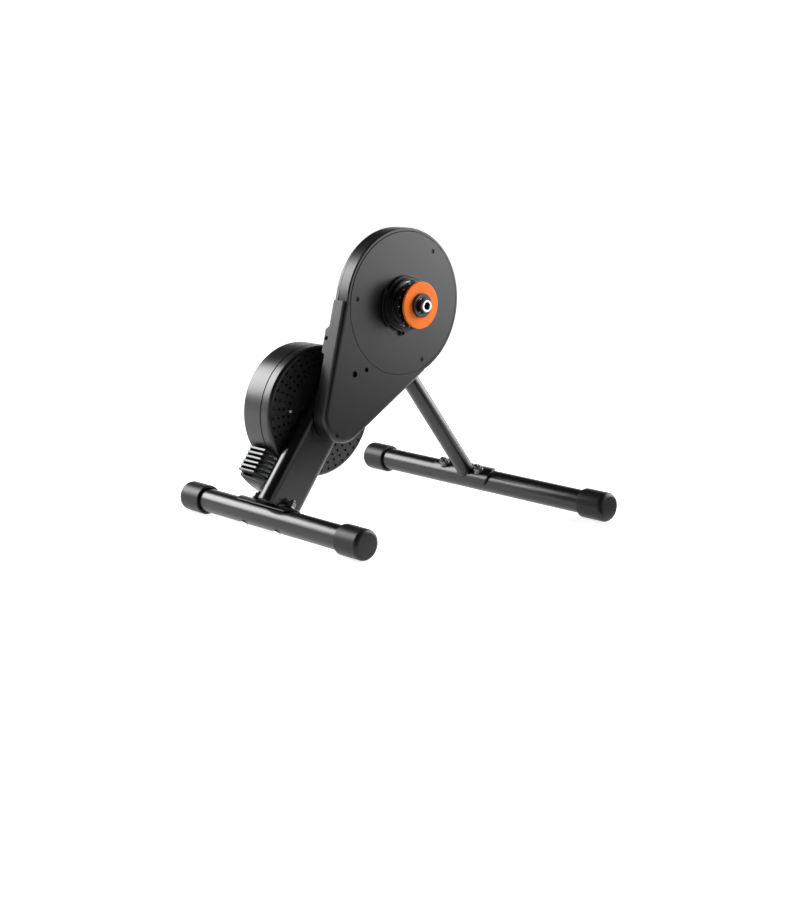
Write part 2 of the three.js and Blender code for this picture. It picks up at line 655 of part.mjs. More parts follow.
function flywheelShaft() {
  const profile = [[0, -15.4], [7, -15.4], [7, 4], [8.5, 4], [8.5, 72.5], [6, 72.5], [6, 79], [0, 79]];
  return turned(profile, SMALL);
}

function flywheelNut() {
  return cut(slab(polygon(ringPoints(11, 6)), 72.8, 78.5), drumY(6.3, 60, 90, 16));
}

// Electromagnets stand on the stator's plate and face the flywheel
function brakeStator() {
  const plate = sleeve(24, 64, 88, 91, MEDIUM);
  const magnet = [[0, 74.5], [7, 74.5], [7, 76], [15, 76], [15, 89], [0, 89]];
  return join(plate, ...ringPoints(44, 6).map(([x, z]) => moved(turned(magnet, TINY), x, 0, z)));
}

function controlBoard() {
  const { inner, outer, start, end, y } = BOARD;
  const shape = new THREE.Shape();
  shape.absarc(0, 0, outer, start, end);
  shape.absarc(0, 0, inner, end, start, true);
  const chips = [0.9, 1.35, 1.8].map((angle) => {
    const [x, z] = [81 * Math.cos(angle), 81 * Math.sin(angle)];
    return block([x - 6, x + 6], [y - 4, y + 0.5], [z - 6, z + 6]);
  });
  return join(slab(shape, y, y + 1.6), ...chips);
}

function heatSink() {
  const { count, pitch, thick, first, reach, root } = FIN;
  const [low, high] = [46, 98];
  const bottomRadius = 150;
  const front = 40;
  const shape = new THREE.Shape();
  shape.moveTo(-reach, -first);
  shape.lineTo(-reach, -Math.sqrt(bottomRadius ** 2 - reach ** 2) + 4);
  shape.absarc(0, 0, bottomRadius, Math.PI + Math.acos((reach - 2.5) / bottomRadius), -Math.acos(front / bottomRadius));
  shape.lineTo(front, -first + 10);
  const slots = Array.from({ length: count - 1 }, (_, i) => {
    const top = -first - thick - pitch * i;
    return block([-80, -root], [0, 140], [top - (pitch - thick), top]);
  });
  const corner = polygon([[-reach - 5, 0], [-reach - 5, 62], [-reach, 60], [-33, low - 1], [-33, 0]]);
  return cut(slab(shape, low, high), drumY(BRAKE.radius + 0.7, 0, 140, LARGE), prism(corner, -200, 0), ...slots);
}

// Assembly
const trainer = new THREE.Group();
const rearFoot = frameAt(trainer, FOOT.rearX, 0, FOOT.height);
const frontFoot = frameAt(trainer, FOOT.frontX, 0, FOOT.height);
const hub = frameAt(trainer, HUB_X, 0, HUB_HEIGHT);
const stemFrame = frameAt(hub, 0, 0, 0, FRAME_TILT);
const shaftFrame = frameAt(stemFrame, 0, 0, -SHAFT_DISTANCE);
const legFrame = frameAt(frontFoot, 0, LEG.y, 0, -LEG_TILT);

for (const { end, foot, span, saddle, tilt } of [
  { end: "rear", foot: rearFoot, span: REAR_FOOT, saddle: REAR_SADDLE, tilt: FRAME_TILT },
  { end: "front", foot: frontFoot, span: FRONT_FOOT, saddle: FRONT_SADDLE, tilt: -LEG_TILT },
]) {
  const tilted = frameAt(foot, 0, 0, 0, tilt);
  piece(foot, `${end}_foot_tube`, footTube(span, saddle, tilt), SATIN_PAINT);
  piece(foot, `${end}_cap_right`, footCap(span.low, -1), RUBBER);
  piece(foot, `${end}_cap_left`, footCap(span.high, 1), RUBBER);
  piece(tilted, `${end}_saddle`, saddleStrip(saddle), SATIN_PAINT);
  for (const [side, y] of Object.entries(boltPlaces(saddle))) {
    piece(tilted, `${end}_foot_bolt_${side}`, footBolt(y), BRIGHT_STEEL);
    piece(tilted, `${end}_foot_nut_${side}`, flangeNut(y), DARK_STEEL);
  }
}

piece(stemFrame, "main_stem", mainStem(), SATIN_PAINT);
piece(legFrame, "front_leg", frontLeg(legFrame, stemFrame), SATIN_PAINT);

piece(stemFrame, "housing_back", housingBack(), BAND_PLASTIC);
piece(stemFrame, "belt_cover_lower", coverLower(), COVER_PLASTIC);
piece(stemFrame, "belt_cover_disc", coverDisc(), COVER_PLASTIC);
discScrewPlaces().forEach((place, i) => piece(stemFrame, `disc_screw_${i + 1}`, coverScrew(place), DARK_STEEL));
piece(stemFrame, "cover_screw", coverScrew([0, -TIP_SCREW]), DARK_STEEL);

piece(hub, "hub_collar", hubCollar(), BLACK_PLASTIC);
piece(hub, "hub_axle", sleeve(AXLE_BORE, 7.5, -69, 69, SMALL), BRIGHT_STEEL);
piece(hub, "end_cap_right", endCap(-1), BRIGHT_STEEL);
piece(hub, "end_cap_left", endCap(1), BRIGHT_STEEL);
piece(hub, "axle_locknut", axleLocknut(), BLACK_PLASTIC);
piece(hub, "left_spacer", sleeve(7.8, 11, CARRIER.high + GAP, 66, SMALL), DARK_STEEL);
piece(hub, "hub_bearing_left", sleeve(7.8, 14, -1, 6, SMALL), BRIGHT_STEEL);
piece(hub, "hub_bearing_right", sleeve(7.8, 14, -21, -14, SMALL), BRIGHT_STEEL);
piece(hub, "drive_pulley", drivePulley(), CAST_METAL);
piece(hub, "freehub_body", freehubBody(), DARK_STEEL);
piece(hub, "freehub_bearing", sleeve(7.8, 11, -56, -26, SMALL), BRIGHT_STEEL);
piece(hub, "chain_guard_inner", innerGuard(), BLACK_PLASTIC);
piece(hub, "cog", cogSolid(), DARK_STEEL);
piece(hub, "chain_guard_outer", outerGuard(), ORANGE_PLASTIC);
piece(hub, "lockring", lockring(), DARK_STEEL);

piece(stemFrame, "drive_belt", driveBelt(), BELT_RUBBER);
piece(stemFrame, "tensioner_arm", tensionerArm(), CAST_METAL);
piece(stemFrame, "tensioner_bolt", tensionerBolt(), BRIGHT_STEEL);
piece(stemFrame, "idler_roller", idlerRoller(), BLACK_PLASTIC);

piece(shaftFrame, "flywheel_shaft", flywheelShaft(), BRIGHT_STEEL);
piece(shaftFrame, "flywheel_pulley", smallPulley(), CAST_METAL);
piece(shaftFrame, "shaft_bearing_right", sleeve(8.8, 17.5, 12, 22, SMALL), BRIGHT_STEEL);
piece(shaftFrame, "shaft_bearing_left", sleeve(8.8, 17.5, 30, 40, SMALL), BRIGHT_STEEL);
piece(shaftFrame, "flywheel", flywheelDisc(), CAST_METAL);
piece(shaftFrame, "flywheel_nut", flywheelNut(), BRIGHT_STEEL);
piece(shaftFrame, "brake_cover_inner", brakeCoverInner(), BAND_PLASTIC);
piece(shaftFrame, "vent_plate", ventPlate(), BLACK_PLASTIC);
plateScrewPlaces().forEach((place, i) => piece(shaftFrame, `vent_screw_${i + 1}`, plateScrew(place), BRIGHT_STEEL));
piece(shaftFrame, "brake_cover_outer", brakeCoverOuter(), BAND_PLASTIC);
piece(shaftFrame, "status_light", statusLight(), BLACK_PLASTIC);
piece(shaftFrame, "brake_stator", brakeStator(), CAST_METAL);
piece(shaftFrame, "control_board", controlBoard(), BOARD_GREEN);
piece(shaftFrame, "power_socket", powerSocket(), BLACK_PLASTIC);
piece(shaftFrame, "heat_sink", heatSink(), DARK_STEEL);

export default trainer;
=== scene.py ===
"""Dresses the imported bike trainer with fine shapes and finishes, and stands it in a plain studio.

The row's frame is in metres, +X to the front wheel, +Y to the rider's left, +Z up. The sizes in the
classes are millimetres, as on a drawing: a piece is made in the frame of its sub-assembly, and the
bench scales it and puts it in its place.
"""
import sys

import json
import logging
import math
from collections.abc import Callable, Iterable, Sequence
from dataclasses import dataclass
from enum import Enum

import bmesh
import bpy
from bmesh.types import BMEdge, BMesh, BMVert
from bpy.types import Material, Node, NodeSocket, NodeTree, Object
from mathutils import Matrix, Vector
from mathutils.bvhtree import BVHTree

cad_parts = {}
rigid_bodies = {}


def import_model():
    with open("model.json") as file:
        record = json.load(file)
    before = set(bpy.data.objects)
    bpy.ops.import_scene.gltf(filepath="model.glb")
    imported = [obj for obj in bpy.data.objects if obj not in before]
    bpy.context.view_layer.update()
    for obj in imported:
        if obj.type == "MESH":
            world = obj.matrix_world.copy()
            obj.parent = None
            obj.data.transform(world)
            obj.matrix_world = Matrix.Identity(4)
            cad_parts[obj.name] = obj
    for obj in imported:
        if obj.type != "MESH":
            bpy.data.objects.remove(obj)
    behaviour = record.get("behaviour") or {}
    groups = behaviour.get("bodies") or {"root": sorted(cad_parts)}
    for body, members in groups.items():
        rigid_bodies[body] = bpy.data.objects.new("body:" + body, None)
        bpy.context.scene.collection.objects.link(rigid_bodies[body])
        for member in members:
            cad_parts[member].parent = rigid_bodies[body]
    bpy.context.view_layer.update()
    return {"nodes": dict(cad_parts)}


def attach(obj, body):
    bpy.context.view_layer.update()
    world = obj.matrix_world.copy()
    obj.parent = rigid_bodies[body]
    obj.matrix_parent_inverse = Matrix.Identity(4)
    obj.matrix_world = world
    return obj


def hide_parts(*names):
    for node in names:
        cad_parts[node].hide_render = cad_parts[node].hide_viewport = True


log = logging.getLogger("trainer")

MM = 0.001
MERGE = 1e-3
HUB_HEIGHT = 340.0
REAR_X = -215.5
FRONT_X = 215.5
FOOT_HEIGHT = 23.0
FRAME_TILT = math.radians(36.3)
LEG_TILT = math.radians(37.8)
SHAFT_DISTANCE = 206.0
HUB_X = REAR_X + (HUB_HEIGHT - FOOT_HEIGHT) * math.tan(FRAME_TILT)
STEM_FOOT_DISTANCE = (HUB_HEIGHT - FOOT_HEIGHT) / math.cos(FRAME_TILT)

Point = tuple[float, float]
Feed = dict[str | int, float | tuple[float, ...] | NodeSocket]


@dataclass(frozen=True)
class Place:
    """The frame of a sub-assembly: an origin in millimetres, turned about the Y axis."""

    x: float
    y: float
    z: float
    turn: float = 0.0

    def matrix(self) -> Matrix:
        """Gives the matrix that takes millimetres in this frame to metres in the row's frame."""
        move = Matrix.Translation(Vector((self.x, self.y, self.z)) * MM)
        return move @ Matrix.Rotation(self.turn, 4, "Y") @ Matrix.Scale(MM, 4)

    def along(self, x: float, y: float, z: float) -> "Place":
        """Gives a frame with the same turn whose origin is at a point of this one."""
        origin = self.matrix() @ Vector((x, y, z)) / MM
        return Place(origin.x, origin.y, origin.z, self.turn)


HUB = Place(HUB_X, 0.0, HUB_HEIGHT)
STEM_FRAME = Place(HUB_X, 0.0, HUB_HEIGHT, FRAME_TILT)
SHAFT_FRAME = STEM_FRAME.along(0.0, 0.0, -SHAFT_DISTANCE)


# Outlines
def arc(cx: float, cy: float, radius: float, start: float, end: float, steps: int) -> list[Point]:
    """Lists points on an arc.

    Args:
        cx: first coordinate of the centre.
        cy: second coordinate of the centre.
        radius: radius of the arc.
        start: first angle in degrees.
        end: last angle in degrees.
        steps: number of chords.

    Returns:
        The points from the first angle to the last.
    """
    angles = [math.radians(start + (end - start) * i / steps) for i in range(steps + 1)]
    return [(cx + radius * math.cos(a), cy + radius * math.sin(a)) for a in angles]


def ring_points(radius: float, count: int, start: float = 0.0) -> list[Point]:
    """Lists equally spaced points on a circle, from the angle start in degrees."""
    return arc(0.0, 0.0, radius, start, start + 360.0 * (count - 1) / count, count - 1)


# Mesh makers: each gives a closed mesh in millimetres
def wire(bm: BMesh, points: Iterable[Sequence[float]],
         closed: bool = False) -> tuple[list[BMVert], list[BMEdge]]:
    """Adds a line of edges to a mesh.

    Args:
        bm: the mesh.
        points: the line's points in order.
        closed: whether the last point joins the first.

    Returns:
        The new vertices and the new edges.
    """
    verts = [bm.verts.new(point) for point in points]
    return verts, [bm.edges.new(pair) for pair in zip(verts, verts[1:] + verts[:int(closed)])]


def of_kind(items: Iterable, kind: type) -> list:
    """Lists the items of one kind among those that a mesh operation gives."""
    return [item for item in items if isinstance(item, kind)]


def doubled(bm: BMesh) -> list[BMVert]:
    """Gives a sheet a second skin, joined to it all round, and lists that skin's vertices."""
    return of_kind(bmesh.ops.extrude_face_region(bm, geom=bm.faces[:])["geom"], BMVert)


def turned(profile: Sequence[Point], steps: int = 96) -> BMesh:
    """Turns a profile about the Y axis.

    Args:
        profile: points of radius and height along Y. It starts and ends on the axis, or closes.
        steps: number of facets round the turn.

    Returns:
        The turned body.
    """
    bm = bmesh.new()
    verts, edges = wire(bm, ((radius, y, 0.0) for radius, y in profile), closed=profile[0][0] > 0.0)
    bmesh.ops.spin(bm, geom=[*verts, *edges], cent=(0, 0, 0), axis=(0, 1, 0), dvec=(0, 0, 0),
                   angle=2 * math.pi, steps=steps, use_merge=True)
    return tidy(bm)


def rod(radius: float, low: float, high: float, steps: int = 96) -> BMesh:
    """Turns a cylinder between two heights."""
    return turned([(0.0, low), (radius, low), (radius, high), (0.0, high)], steps)


def sleeve(inner: float, outer: float, low: float, high: float, steps: int = 96) -> BMesh:
    """Turns a ring between two radii and two heights."""
    return turned([(inner, low), (outer, low), (outer, high), (inner, high)], steps)


def extruded(outline: Sequence[Point], low: float, high: float,
             holes: Iterable[Sequence[Point]] = ()) -> BMesh:
    """Extrudes a flat outline in the XZ plane along Y.

    Args:
        outline: the outer points.
        low: lowest Y.
        high: highest Y.
        holes: outlines of the holes in it.

    Returns:
        The extruded body.
    """
    bm = bmesh.new()
    edges = []
    for loop in (outline, *holes):
        edges += wire(bm, ((x, low, z) for x, z in loop), closed=True)[1]
    if holes:
        bmesh.ops.triangle_fill(bm, edges=edges, use_beauty=True)
    else:
        bmesh.ops.contextual_create(bm, geom=edges)
    bmesh.ops.translate(bm, verts=doubled(bm), vec=(0.0, high - low, 0.0))
    return tidy(bm)


def tidy(bm: BMesh) -> BMesh:
    """Merges doubles and turns every face outwards."""
    bmesh.ops.remove_doubles(bm, verts=bm.verts, dist=MERGE)
    bmesh.ops.recalc_face_normals(bm, faces=bm.faces)
    return bm


def block(x: Point, y: Point, z: Point) -> BMesh:
    """Makes a box, for use as a cutter or to be softened.

    Args:
        x: lowest and highest X.
        y: lowest and highest Y.
        z: lowest and highest Z.

    Returns:
        The box.
    """
    bm = bmesh.new()
    bmesh.ops.create_cube(bm, size=1.0)
    bmesh.ops.scale(bm, verts=bm.verts, vec=(x[1] - x[0], y[1] - y[0], z[1] - z[0]))
    return shifted(bm, (x[0] + x[1]) / 2, (y[0] + y[1]) / 2, (z[0] + z[1]) / 2)


def sharp_edges(bm: BMesh, degrees: float) -> list[BMEdge]:
    """Lists the edges between two faces that bend by more than an angle."""
    limit = math.radians(degrees)
    return [e for e in bm.edges if len(e.link_faces) == 2 and e.calc_face_angle(0.0) > limit]


def soften(bm: BMesh, size: float, segments: int = 2, degrees: float = 30.0,
           pick: Callable[[Vector], bool] = lambda middle: True) -> BMesh:
    """Rounds the sharp edges of a body.

    Args:
        bm: the body.
        size: how far the rounding reaches from the edge.
        segments: facets across the rounding.
        degrees: the bend past which an edge is rounded.
        pick: says from an edge's middle whether it is rounded.

    Returns:
        The same body.
    """
    edges = [e for e in sharp_edges(bm, degrees) if pick((e.verts[0].co + e.verts[1].co) / 2)]
    bmesh.ops.bevel(bm, geom=edges, offset=size, offset_type="OFFSET", segments=segments, profile=0.5,
                    affect="EDGES", material=-1, clamp_overlap=True)
    return bm


def shifted(bm: BMesh, x: float, y: float, z: float) -> BMesh:
    """Moves a body."""
    bmesh.ops.translate(bm, verts=bm.verts, vec=(x, y, z))
    return bm


def rotated(bm: BMesh, degrees: float, axis: str) -> BMesh:
    """Turns a body about an axis through the origin.

    Args:
        bm: the body.
        degrees: the angle that it turns by.
        axis: X, Y or Z.

    Returns:
        The same body.
    """
    turn = Matrix.Rotation(math.radians(degrees), 3, axis)
    bmesh.ops.rotate(bm, verts=bm.verts, cent=(0, 0, 0), matrix=turn)
    return bm


def upright(bm: BMesh) -> BMesh:
    """Stands a body that was turned about Y on the Z axis."""
    return rotated(bm, 90.0, "X")


def copies(body: BMesh, places: Iterable[Point]) -> list[BMesh]:
    """Sets a copy of a body at each of some places in the XZ plane."""
    return [shifted(body.copy(), x, 0.0, z) for x, z in places]


def gathered(*bodies: BMesh) -> BMesh:
    """Puts several closed bodies in one mesh.

    Args:
        bodies: the bodies, which are freed.

    Returns:
        The mesh with all of them.
    """
    whole = bmesh.new()
    for body in bodies:
        mesh = bpy.data.meshes.new("part")
        body.to_mesh(mesh)
        body.free()
        whole.from_mesh(mesh)
        bpy.data.meshes.remove(mesh)
    return whole


def linked(name: str, data: bpy.types.ID) -> Object:
    """Makes an object of some data and links it to the scene."""
    made = bpy.data.objects.new(name, data)
    bpy.context.scene.collection.objects.link(made)
    return made


def as_object(bm: BMesh, name: str) -> Object:
    """Makes a linked object of a mesh.

    Args:
        bm: the mesh, which is freed.
        name: the object's name.

    Returns:
        The object.
    """
    mesh = bpy.data.meshes.new(name)
    bm.to_mesh(mesh)
    bm.free()
    return linked(name, mesh)


def evaluated_body(piece: Object) -> BMesh:
    """Reads an object with its modifiers applied into a mesh.

    Args:
        piece: the object, which is removed.

    Returns:
        The mesh.
    """
    graph = bpy.context.evaluated_depsgraph_get()
    mesh = bpy.data.meshes.new_from_object(piece.evaluated_get(graph))
    bm = bmesh.new()
    bm.from_mesh(mesh)
    bpy.data.meshes.remove(mesh)
    bpy.data.objects.remove(piece)
    return bm


def carved(body: BMesh, *tools: BMesh, operation: str = "DIFFERENCE") -> BMesh:
    """Cuts a body with others, or joins them to it.

    Args:
        body: the blank.
        tools: the bodies that cut it, in order.
        operation: DIFFERENCE, UNION or INTERSECT.

    Returns:
        The cut body.
    """
    flat = math.radians(0.3)
    blank = as_object(body, "blank")
    cutters = [as_object(tool, "cutter") for tool in tools]
    for cutter in cutters:
        cut = blank.modifiers.new("cut", "BOOLEAN")
        cut.operation = operation
        cut.solver = "EXACT"
        cut.object = cutter
    result = evaluated_body(blank)
    for cutter in cutters:
        bpy.data.objects.remove(cutter)
    bmesh.ops.remove_doubles(result, verts=result.verts, dist=2 * MERGE)
    bmesh.ops.dissolve_limit(result, angle_limit=flat, verts=result.verts, edges=result.edges)
    return result


def bead(path: Sequence[Vector], radius: float, closed: bool = True) -> BMesh:
    """Lays a rippled weld bead along a path.

    Args:
        path: points of the path in millimetres.
        radius: half the bead's width.
        closed: whether the last point joins the first.

    Returns:
        The bead's body.
    """
    ripple = 0.14
    curve = bpy.data.curves.new("bead", "CURVE")
    curve.dimensions = "3D"
    curve.bevel_depth = radius
    curve.bevel_resolution = 3
    curve.use_fill_caps = True
    spline = curve.splines.new("POLY")
    spline.points.add(len(path) - 1)
    spline.use_cyclic_u = closed
    for i, (point, at) in enumerate(zip(spline.points, path)):
        point.co = (*at, 1.0)
        point.radius = 1.0 + ripple * math.cos(i * math.pi / 2)
    return tidy(evaluated_body(linked("bead", curve)))


# Shader nodes
def feed(node: Node, inputs: Feed) -> None:
    """Sets a node's own input sockets, or links them where a socket is given."""
    for key, value in inputs.items():
        if isinstance(value, NodeSocket):
            node.id_data.links.new(value, node.inputs[key])
        else:
            node.inputs[key].default_value = value


def add_node(tree: NodeTree, kind: str, inputs: Feed | None = None, **settings: object) -> Node:
    """Adds a node to a tree.

    Args:
        tree: the node tree.
        kind: the node's type, without its common first part.
        inputs: a value or a socket for each input that is set.
        settings: the node's own settings.

    Returns:
        The node.
    """
    node = tree.nodes.new(f"ShaderNode{kind}")
    for name, value in settings.items():
        setattr(node, name, value)
    feed(node, inputs or {})
    return node


def new_material(word: str) -> tuple[Material, Node]:
    """Makes a material and gives it with its shader."""
    made = bpy.data.materials.new(word)
    made.use_nodes = True
    return made, made.node_tree.nodes["Principled BSDF"]


class GroupKind(Enum):
    """The effects that several finishes share."""

    GRAIN = "moulded grain"
    BRUSHED = "brushed streaks"
    SPARKLE = "cast skin"


class ShaderShelf:
    """Makes each shared node group once."""

    def __init__(self) -> None:
        """Starts with an empty shelf."""
        self.made: dict[GroupKind, NodeTree] = {}

    def take(self, kind: GroupKind) -> NodeTree:
        """Gives a group, made on its first use."""
        if kind not in self.made:
            self.made[kind] = self.build(kind)
        return self.made[kind]

    def build(self, kind: GroupKind) -> NodeTree:
        """Builds a group that varies a colour and a roughness and gives a height.

        Args:
            kind: which effect the group gives.

        Returns:
            The node group.
        """
        tree = bpy.data.node_groups.new(kind.value, "ShaderNodeTree")
        taken = ("Color", "Tint change", "Roughness", "Roughness change", "Grain scale")
        for way, names in (("INPUT", taken), ("OUTPUT", ("Color", "Roughness", "Height"))):
            for name in names:
                form = "NodeSocketColor" if name == "Color" else "NodeSocketFloat"
                tree.interface.new_socket(name, in_out=way, socket_type=form)
        given = tree.nodes.new("NodeGroupInput").outputs
        place = add_node(tree, "TexCoord").outputs["Object"]
        if kind is GroupKind.BRUSHED:
            place = add_node(tree, "Mapping", {"Vector": place, "Scale": (1.0, 12.0, 1.0)}).outputs["Vector"]
        cloud = self.noise(place, 22.0, 3.0)
        smear = self.noise(place, 210.0, 2.0)
        fine = self.noise(place, given["Grain scale"], 4.0 if kind is GroupKind.SPARKLE else 1.5)
        tint = self.spread(cloud, given["Tint change"], 1.0)
        shade = add_node(tree, "VectorMath", {0: given["Color"], "Scale": tint}, operation="SCALE")
        rough = self.spread(smear, given["Roughness change"], 0.0)
        total = add_node(tree, "Math", {0: rough, 1: given["Roughness"]}, operation="ADD")
        feed(tree.nodes.new("NodeGroupOutput"), {
            "Color": shade.outputs["Vector"], "Roughness": total.outputs["Value"], "Height": fine})
        return tree

    def noise(self, place: NodeSocket, scale: float | NodeSocket, detail: float) -> NodeSocket:
        """Adds a noise texture read at a place, at a scale per metre, and gives its value."""
        inputs = {"Vector": place, "Scale": scale, "Detail": detail}
        return add_node(place.id_data, "TexNoise", inputs).outputs["Fac"]

    def spread(self, value: NodeSocket, amount: NodeSocket, middle: float) -> NodeSocket:
        """Centres a noise value and scales it by an amount.

        Args:
            value: the noise, round a half.
            amount: how far it may move from the middle.
            middle: the value in the middle of the range.

        Returns:
            The socket with the scaled value.
        """
        steps = {0: value, 1: 2.0, 2: -1.0}
        for then in ({1: amount, 2: middle}, {}):
            result = add_node(value.id_data, "Math", steps, operation="MULTIPLY_ADD").outputs["Value"]
            steps = {0: result, **then}
        return result


@dataclass(frozen=True)
class Finish:
    """How a surface looks, and the record's slot that it belongs to."""

    word: str
    slot: str
    color: tuple[float, float, float]
    roughness: float
    metallic: float = 0.0
    specular: float = 0.5
    group: GroupKind = GroupKind.GRAIN
    tint_change: float = 0.12
    roughness_change: float = 0.06
    grain: float = 1500.0
    bump: float = 0.15
    depth: float = 0.00004

    def material(self, shelf: ShaderShelf) -> Material:
        """Makes the material, or gives the one made before.

        Args:
            shelf: the shared shader groups.

        Returns:
            The material.
        """
        found = bpy.data.materials.get(self.word)
        if found:
            return found
        made, shader = new_material(self.word)
        effect = add_node(made.node_tree, "Group", {
            "Color": (*self.color, 1.0), "Tint change": self.tint_change, "Roughness": self.roughness,
            "Roughness change": self.roughness_change, "Grain scale": self.grain,
        }, node_tree=shelf.take(self.group)).outputs
        bump = add_node(made.node_tree, "Bump", {
            "Strength": self.bump, "Distance": self.depth, "Height": effect["Height"]})
        feed(shader, {
            "Metallic": self.metallic, "Specular IOR Level": self.specular, "Base Color": effect["Color"],
            "Roughness": effect["Roughness"], "Normal": bump.outputs["Normal"]})
        return made


PAINT = Finish("satin_black_paint", "frame_paint", (0.0035, 0.0036, 0.0039), 0.28, grain=2400.0, bump=0.02,
               depth=0.00002, tint_change=0.04, roughness_change=0.01)
RUBBER = Finish("cap_rubber", "foot_rubber", (0.0065, 0.0067, 0.0071), 0.4, specular=0.32, bump=0.12)
COVER = Finish("cover_moulding", "cover_plastic", (0.0068, 0.007, 0.0076), 0.34, specular=0.43, grain=2400.0,
               bump=0.04, tint_change=0.05, roughness_change=0.02)
BAND = Finish("band_moulding", "band_plastic", (0.0088, 0.0091, 0.0098), 0.31, grain=2400.0, bump=0.03,
              depth=0.00001, tint_change=0.05, roughness_change=0.02)
PLATE = Finish("vent_plate_moulding", "black_plastic", (0.017, 0.0174, 0.0174), 0.5, specular=0.35,
               grain=1600.0, bump=0.2)
BLACK = Finish("black_moulding", "black_plastic", (0.0045, 0.0045, 0.0048), 0.4, specular=0.35, bump=0.03)
ORANGE = Finish("orange_moulding", "orange_plastic", (1.0, 0.2, 0.013), 0.5, specular=0.15, bump=0.06,
                tint_change=0.03)
BRIGHT = Finish("bright_plated_steel", "bright_steel", (0.72, 0.72, 0.73), 0.2, 1.0,
                group=GroupKind.BRUSHED, grain=2600.0, bump=0.12)
DULL_STEEL = Finish("turned_drum_steel", "cast_metal", (0.6, 0.6, 0.62), 0.3, 1.0,
                    group=GroupKind.BRUSHED, grain=2200.0, bump=0.05)
SATIN = Finish("satin_plated_steel", "bright_steel", (0.66, 0.66, 0.67), 0.36, 1.0,
               group=GroupKind.BRUSHED, grain=2400.0, bump=0.06)
DARK = Finish("blackened_steel", "dark_steel", (0.03, 0.0305, 0.032), 0.3, 0.6,
              group=GroupKind.BRUSHED, grain=1800.0, bump=0.12)
NUT = Finish("black_zinc_nuts", "dark_steel", (0.16, 0.163, 0.17), 0.25, 0.85, grain=1400.0, bump=0.08)
CAST = Finish("cast_iron_skin", "cast_metal", (0.2, 0.205, 0.21), 0.5, 0.85,
              group=GroupKind.SPARKLE, grain=700.0, bump=0.5, depth=0.00015)
ALLOY = Finish("anodised_fins", "heat_sink_alloy", (0.07, 0.072, 0.075), 0.32, 0.3,
               group=GroupKind.BRUSHED, bump=0.12)
BELT = Finish("ribbed_belt_rubber", "belt_rubber", (0.012, 0.012, 0.012), 0.7, grain=1200.0, bump=0.4)
LAMINATE = Finish("green_board_laminate", "board_laminate", (0.012, 0.1, 0.035), 0.35, grain=600.0)
DARK_LENS = Finish("smoked_light_windows", "black_plastic", (0.004, 0.004, 0.005), 0.12, specular=0.6)


class Bench:
    """Finishes meshes as pieces of the scene."""

    def __init__(self, nodes: dict[str, Object]) -> None:
        """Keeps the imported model's nodes and an empty shelf of shader groups."""
        self.nodes = nodes
        self.shelf = ShaderShelf()

    def fit(self, bm: BMesh, node: str, place: Place, finish: Finish, body: str = "frame",
            crease: float = 35.0) -> Object:
        """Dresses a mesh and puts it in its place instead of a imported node.

        Args:
            bm: the mesh in millimetres.
            node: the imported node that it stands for.
            place: the frame that it was made in.
            finish: its finish.
            body: the body that it rides on.
            crease: the bend in degrees past which an edge stays sharp.

        Returns:
            The piece.
        """
        bmesh.ops.transform(bm, matrix=place.matrix(), verts=bm.verts)
        for face in bm.faces:
            face.smooth = True
        for edge in sharp_edges(bm, crease):
            edge.smooth = False
        piece = as_object(bm, f"{node}_shape")
        piece.data.materials.append(finish.material(self.shelf))
        weighted = piece.modifiers.new("face_weighted_normals", "WEIGHTED_NORMAL")
        weighted.keep_sharp = True
        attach(piece, body)
        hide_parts(node)
        log.info("%s: %d faces, %s, on %s", piece.name, len(piece.data.polygons), finish.word, body)
        return piece

    def mark(self, piece: Object, finish: Finish, pick: Callable[[Vector], bool], place: Place) -> None:
        """Gives some faces of a piece a second finish.

        Args:
            piece: the piece.
            finish: the second finish.
            pick: says from a face's middle, in the frame's millimetres, whether it takes that finish.
            place: the frame that the piece was made in.
        """
        back = place.matrix().inverted()
        piece.data.materials.append(finish.material(self.shelf))
        for face in piece.data.polygons:
            if pick(back @ face.center):
                face.material_index = len(piece.data.materials) - 1

    def dress(self, finish: Finish, *names: str) -> None:
        """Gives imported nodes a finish.

        Args:
            finish: the finish.
            names: the nodes.
        """
        for name in names:
            for slot in self.nodes[name].material_slots:
                slot.material = finish.material(self.shelf)
            log.info("%s: packed node, %s", name, finish.word)


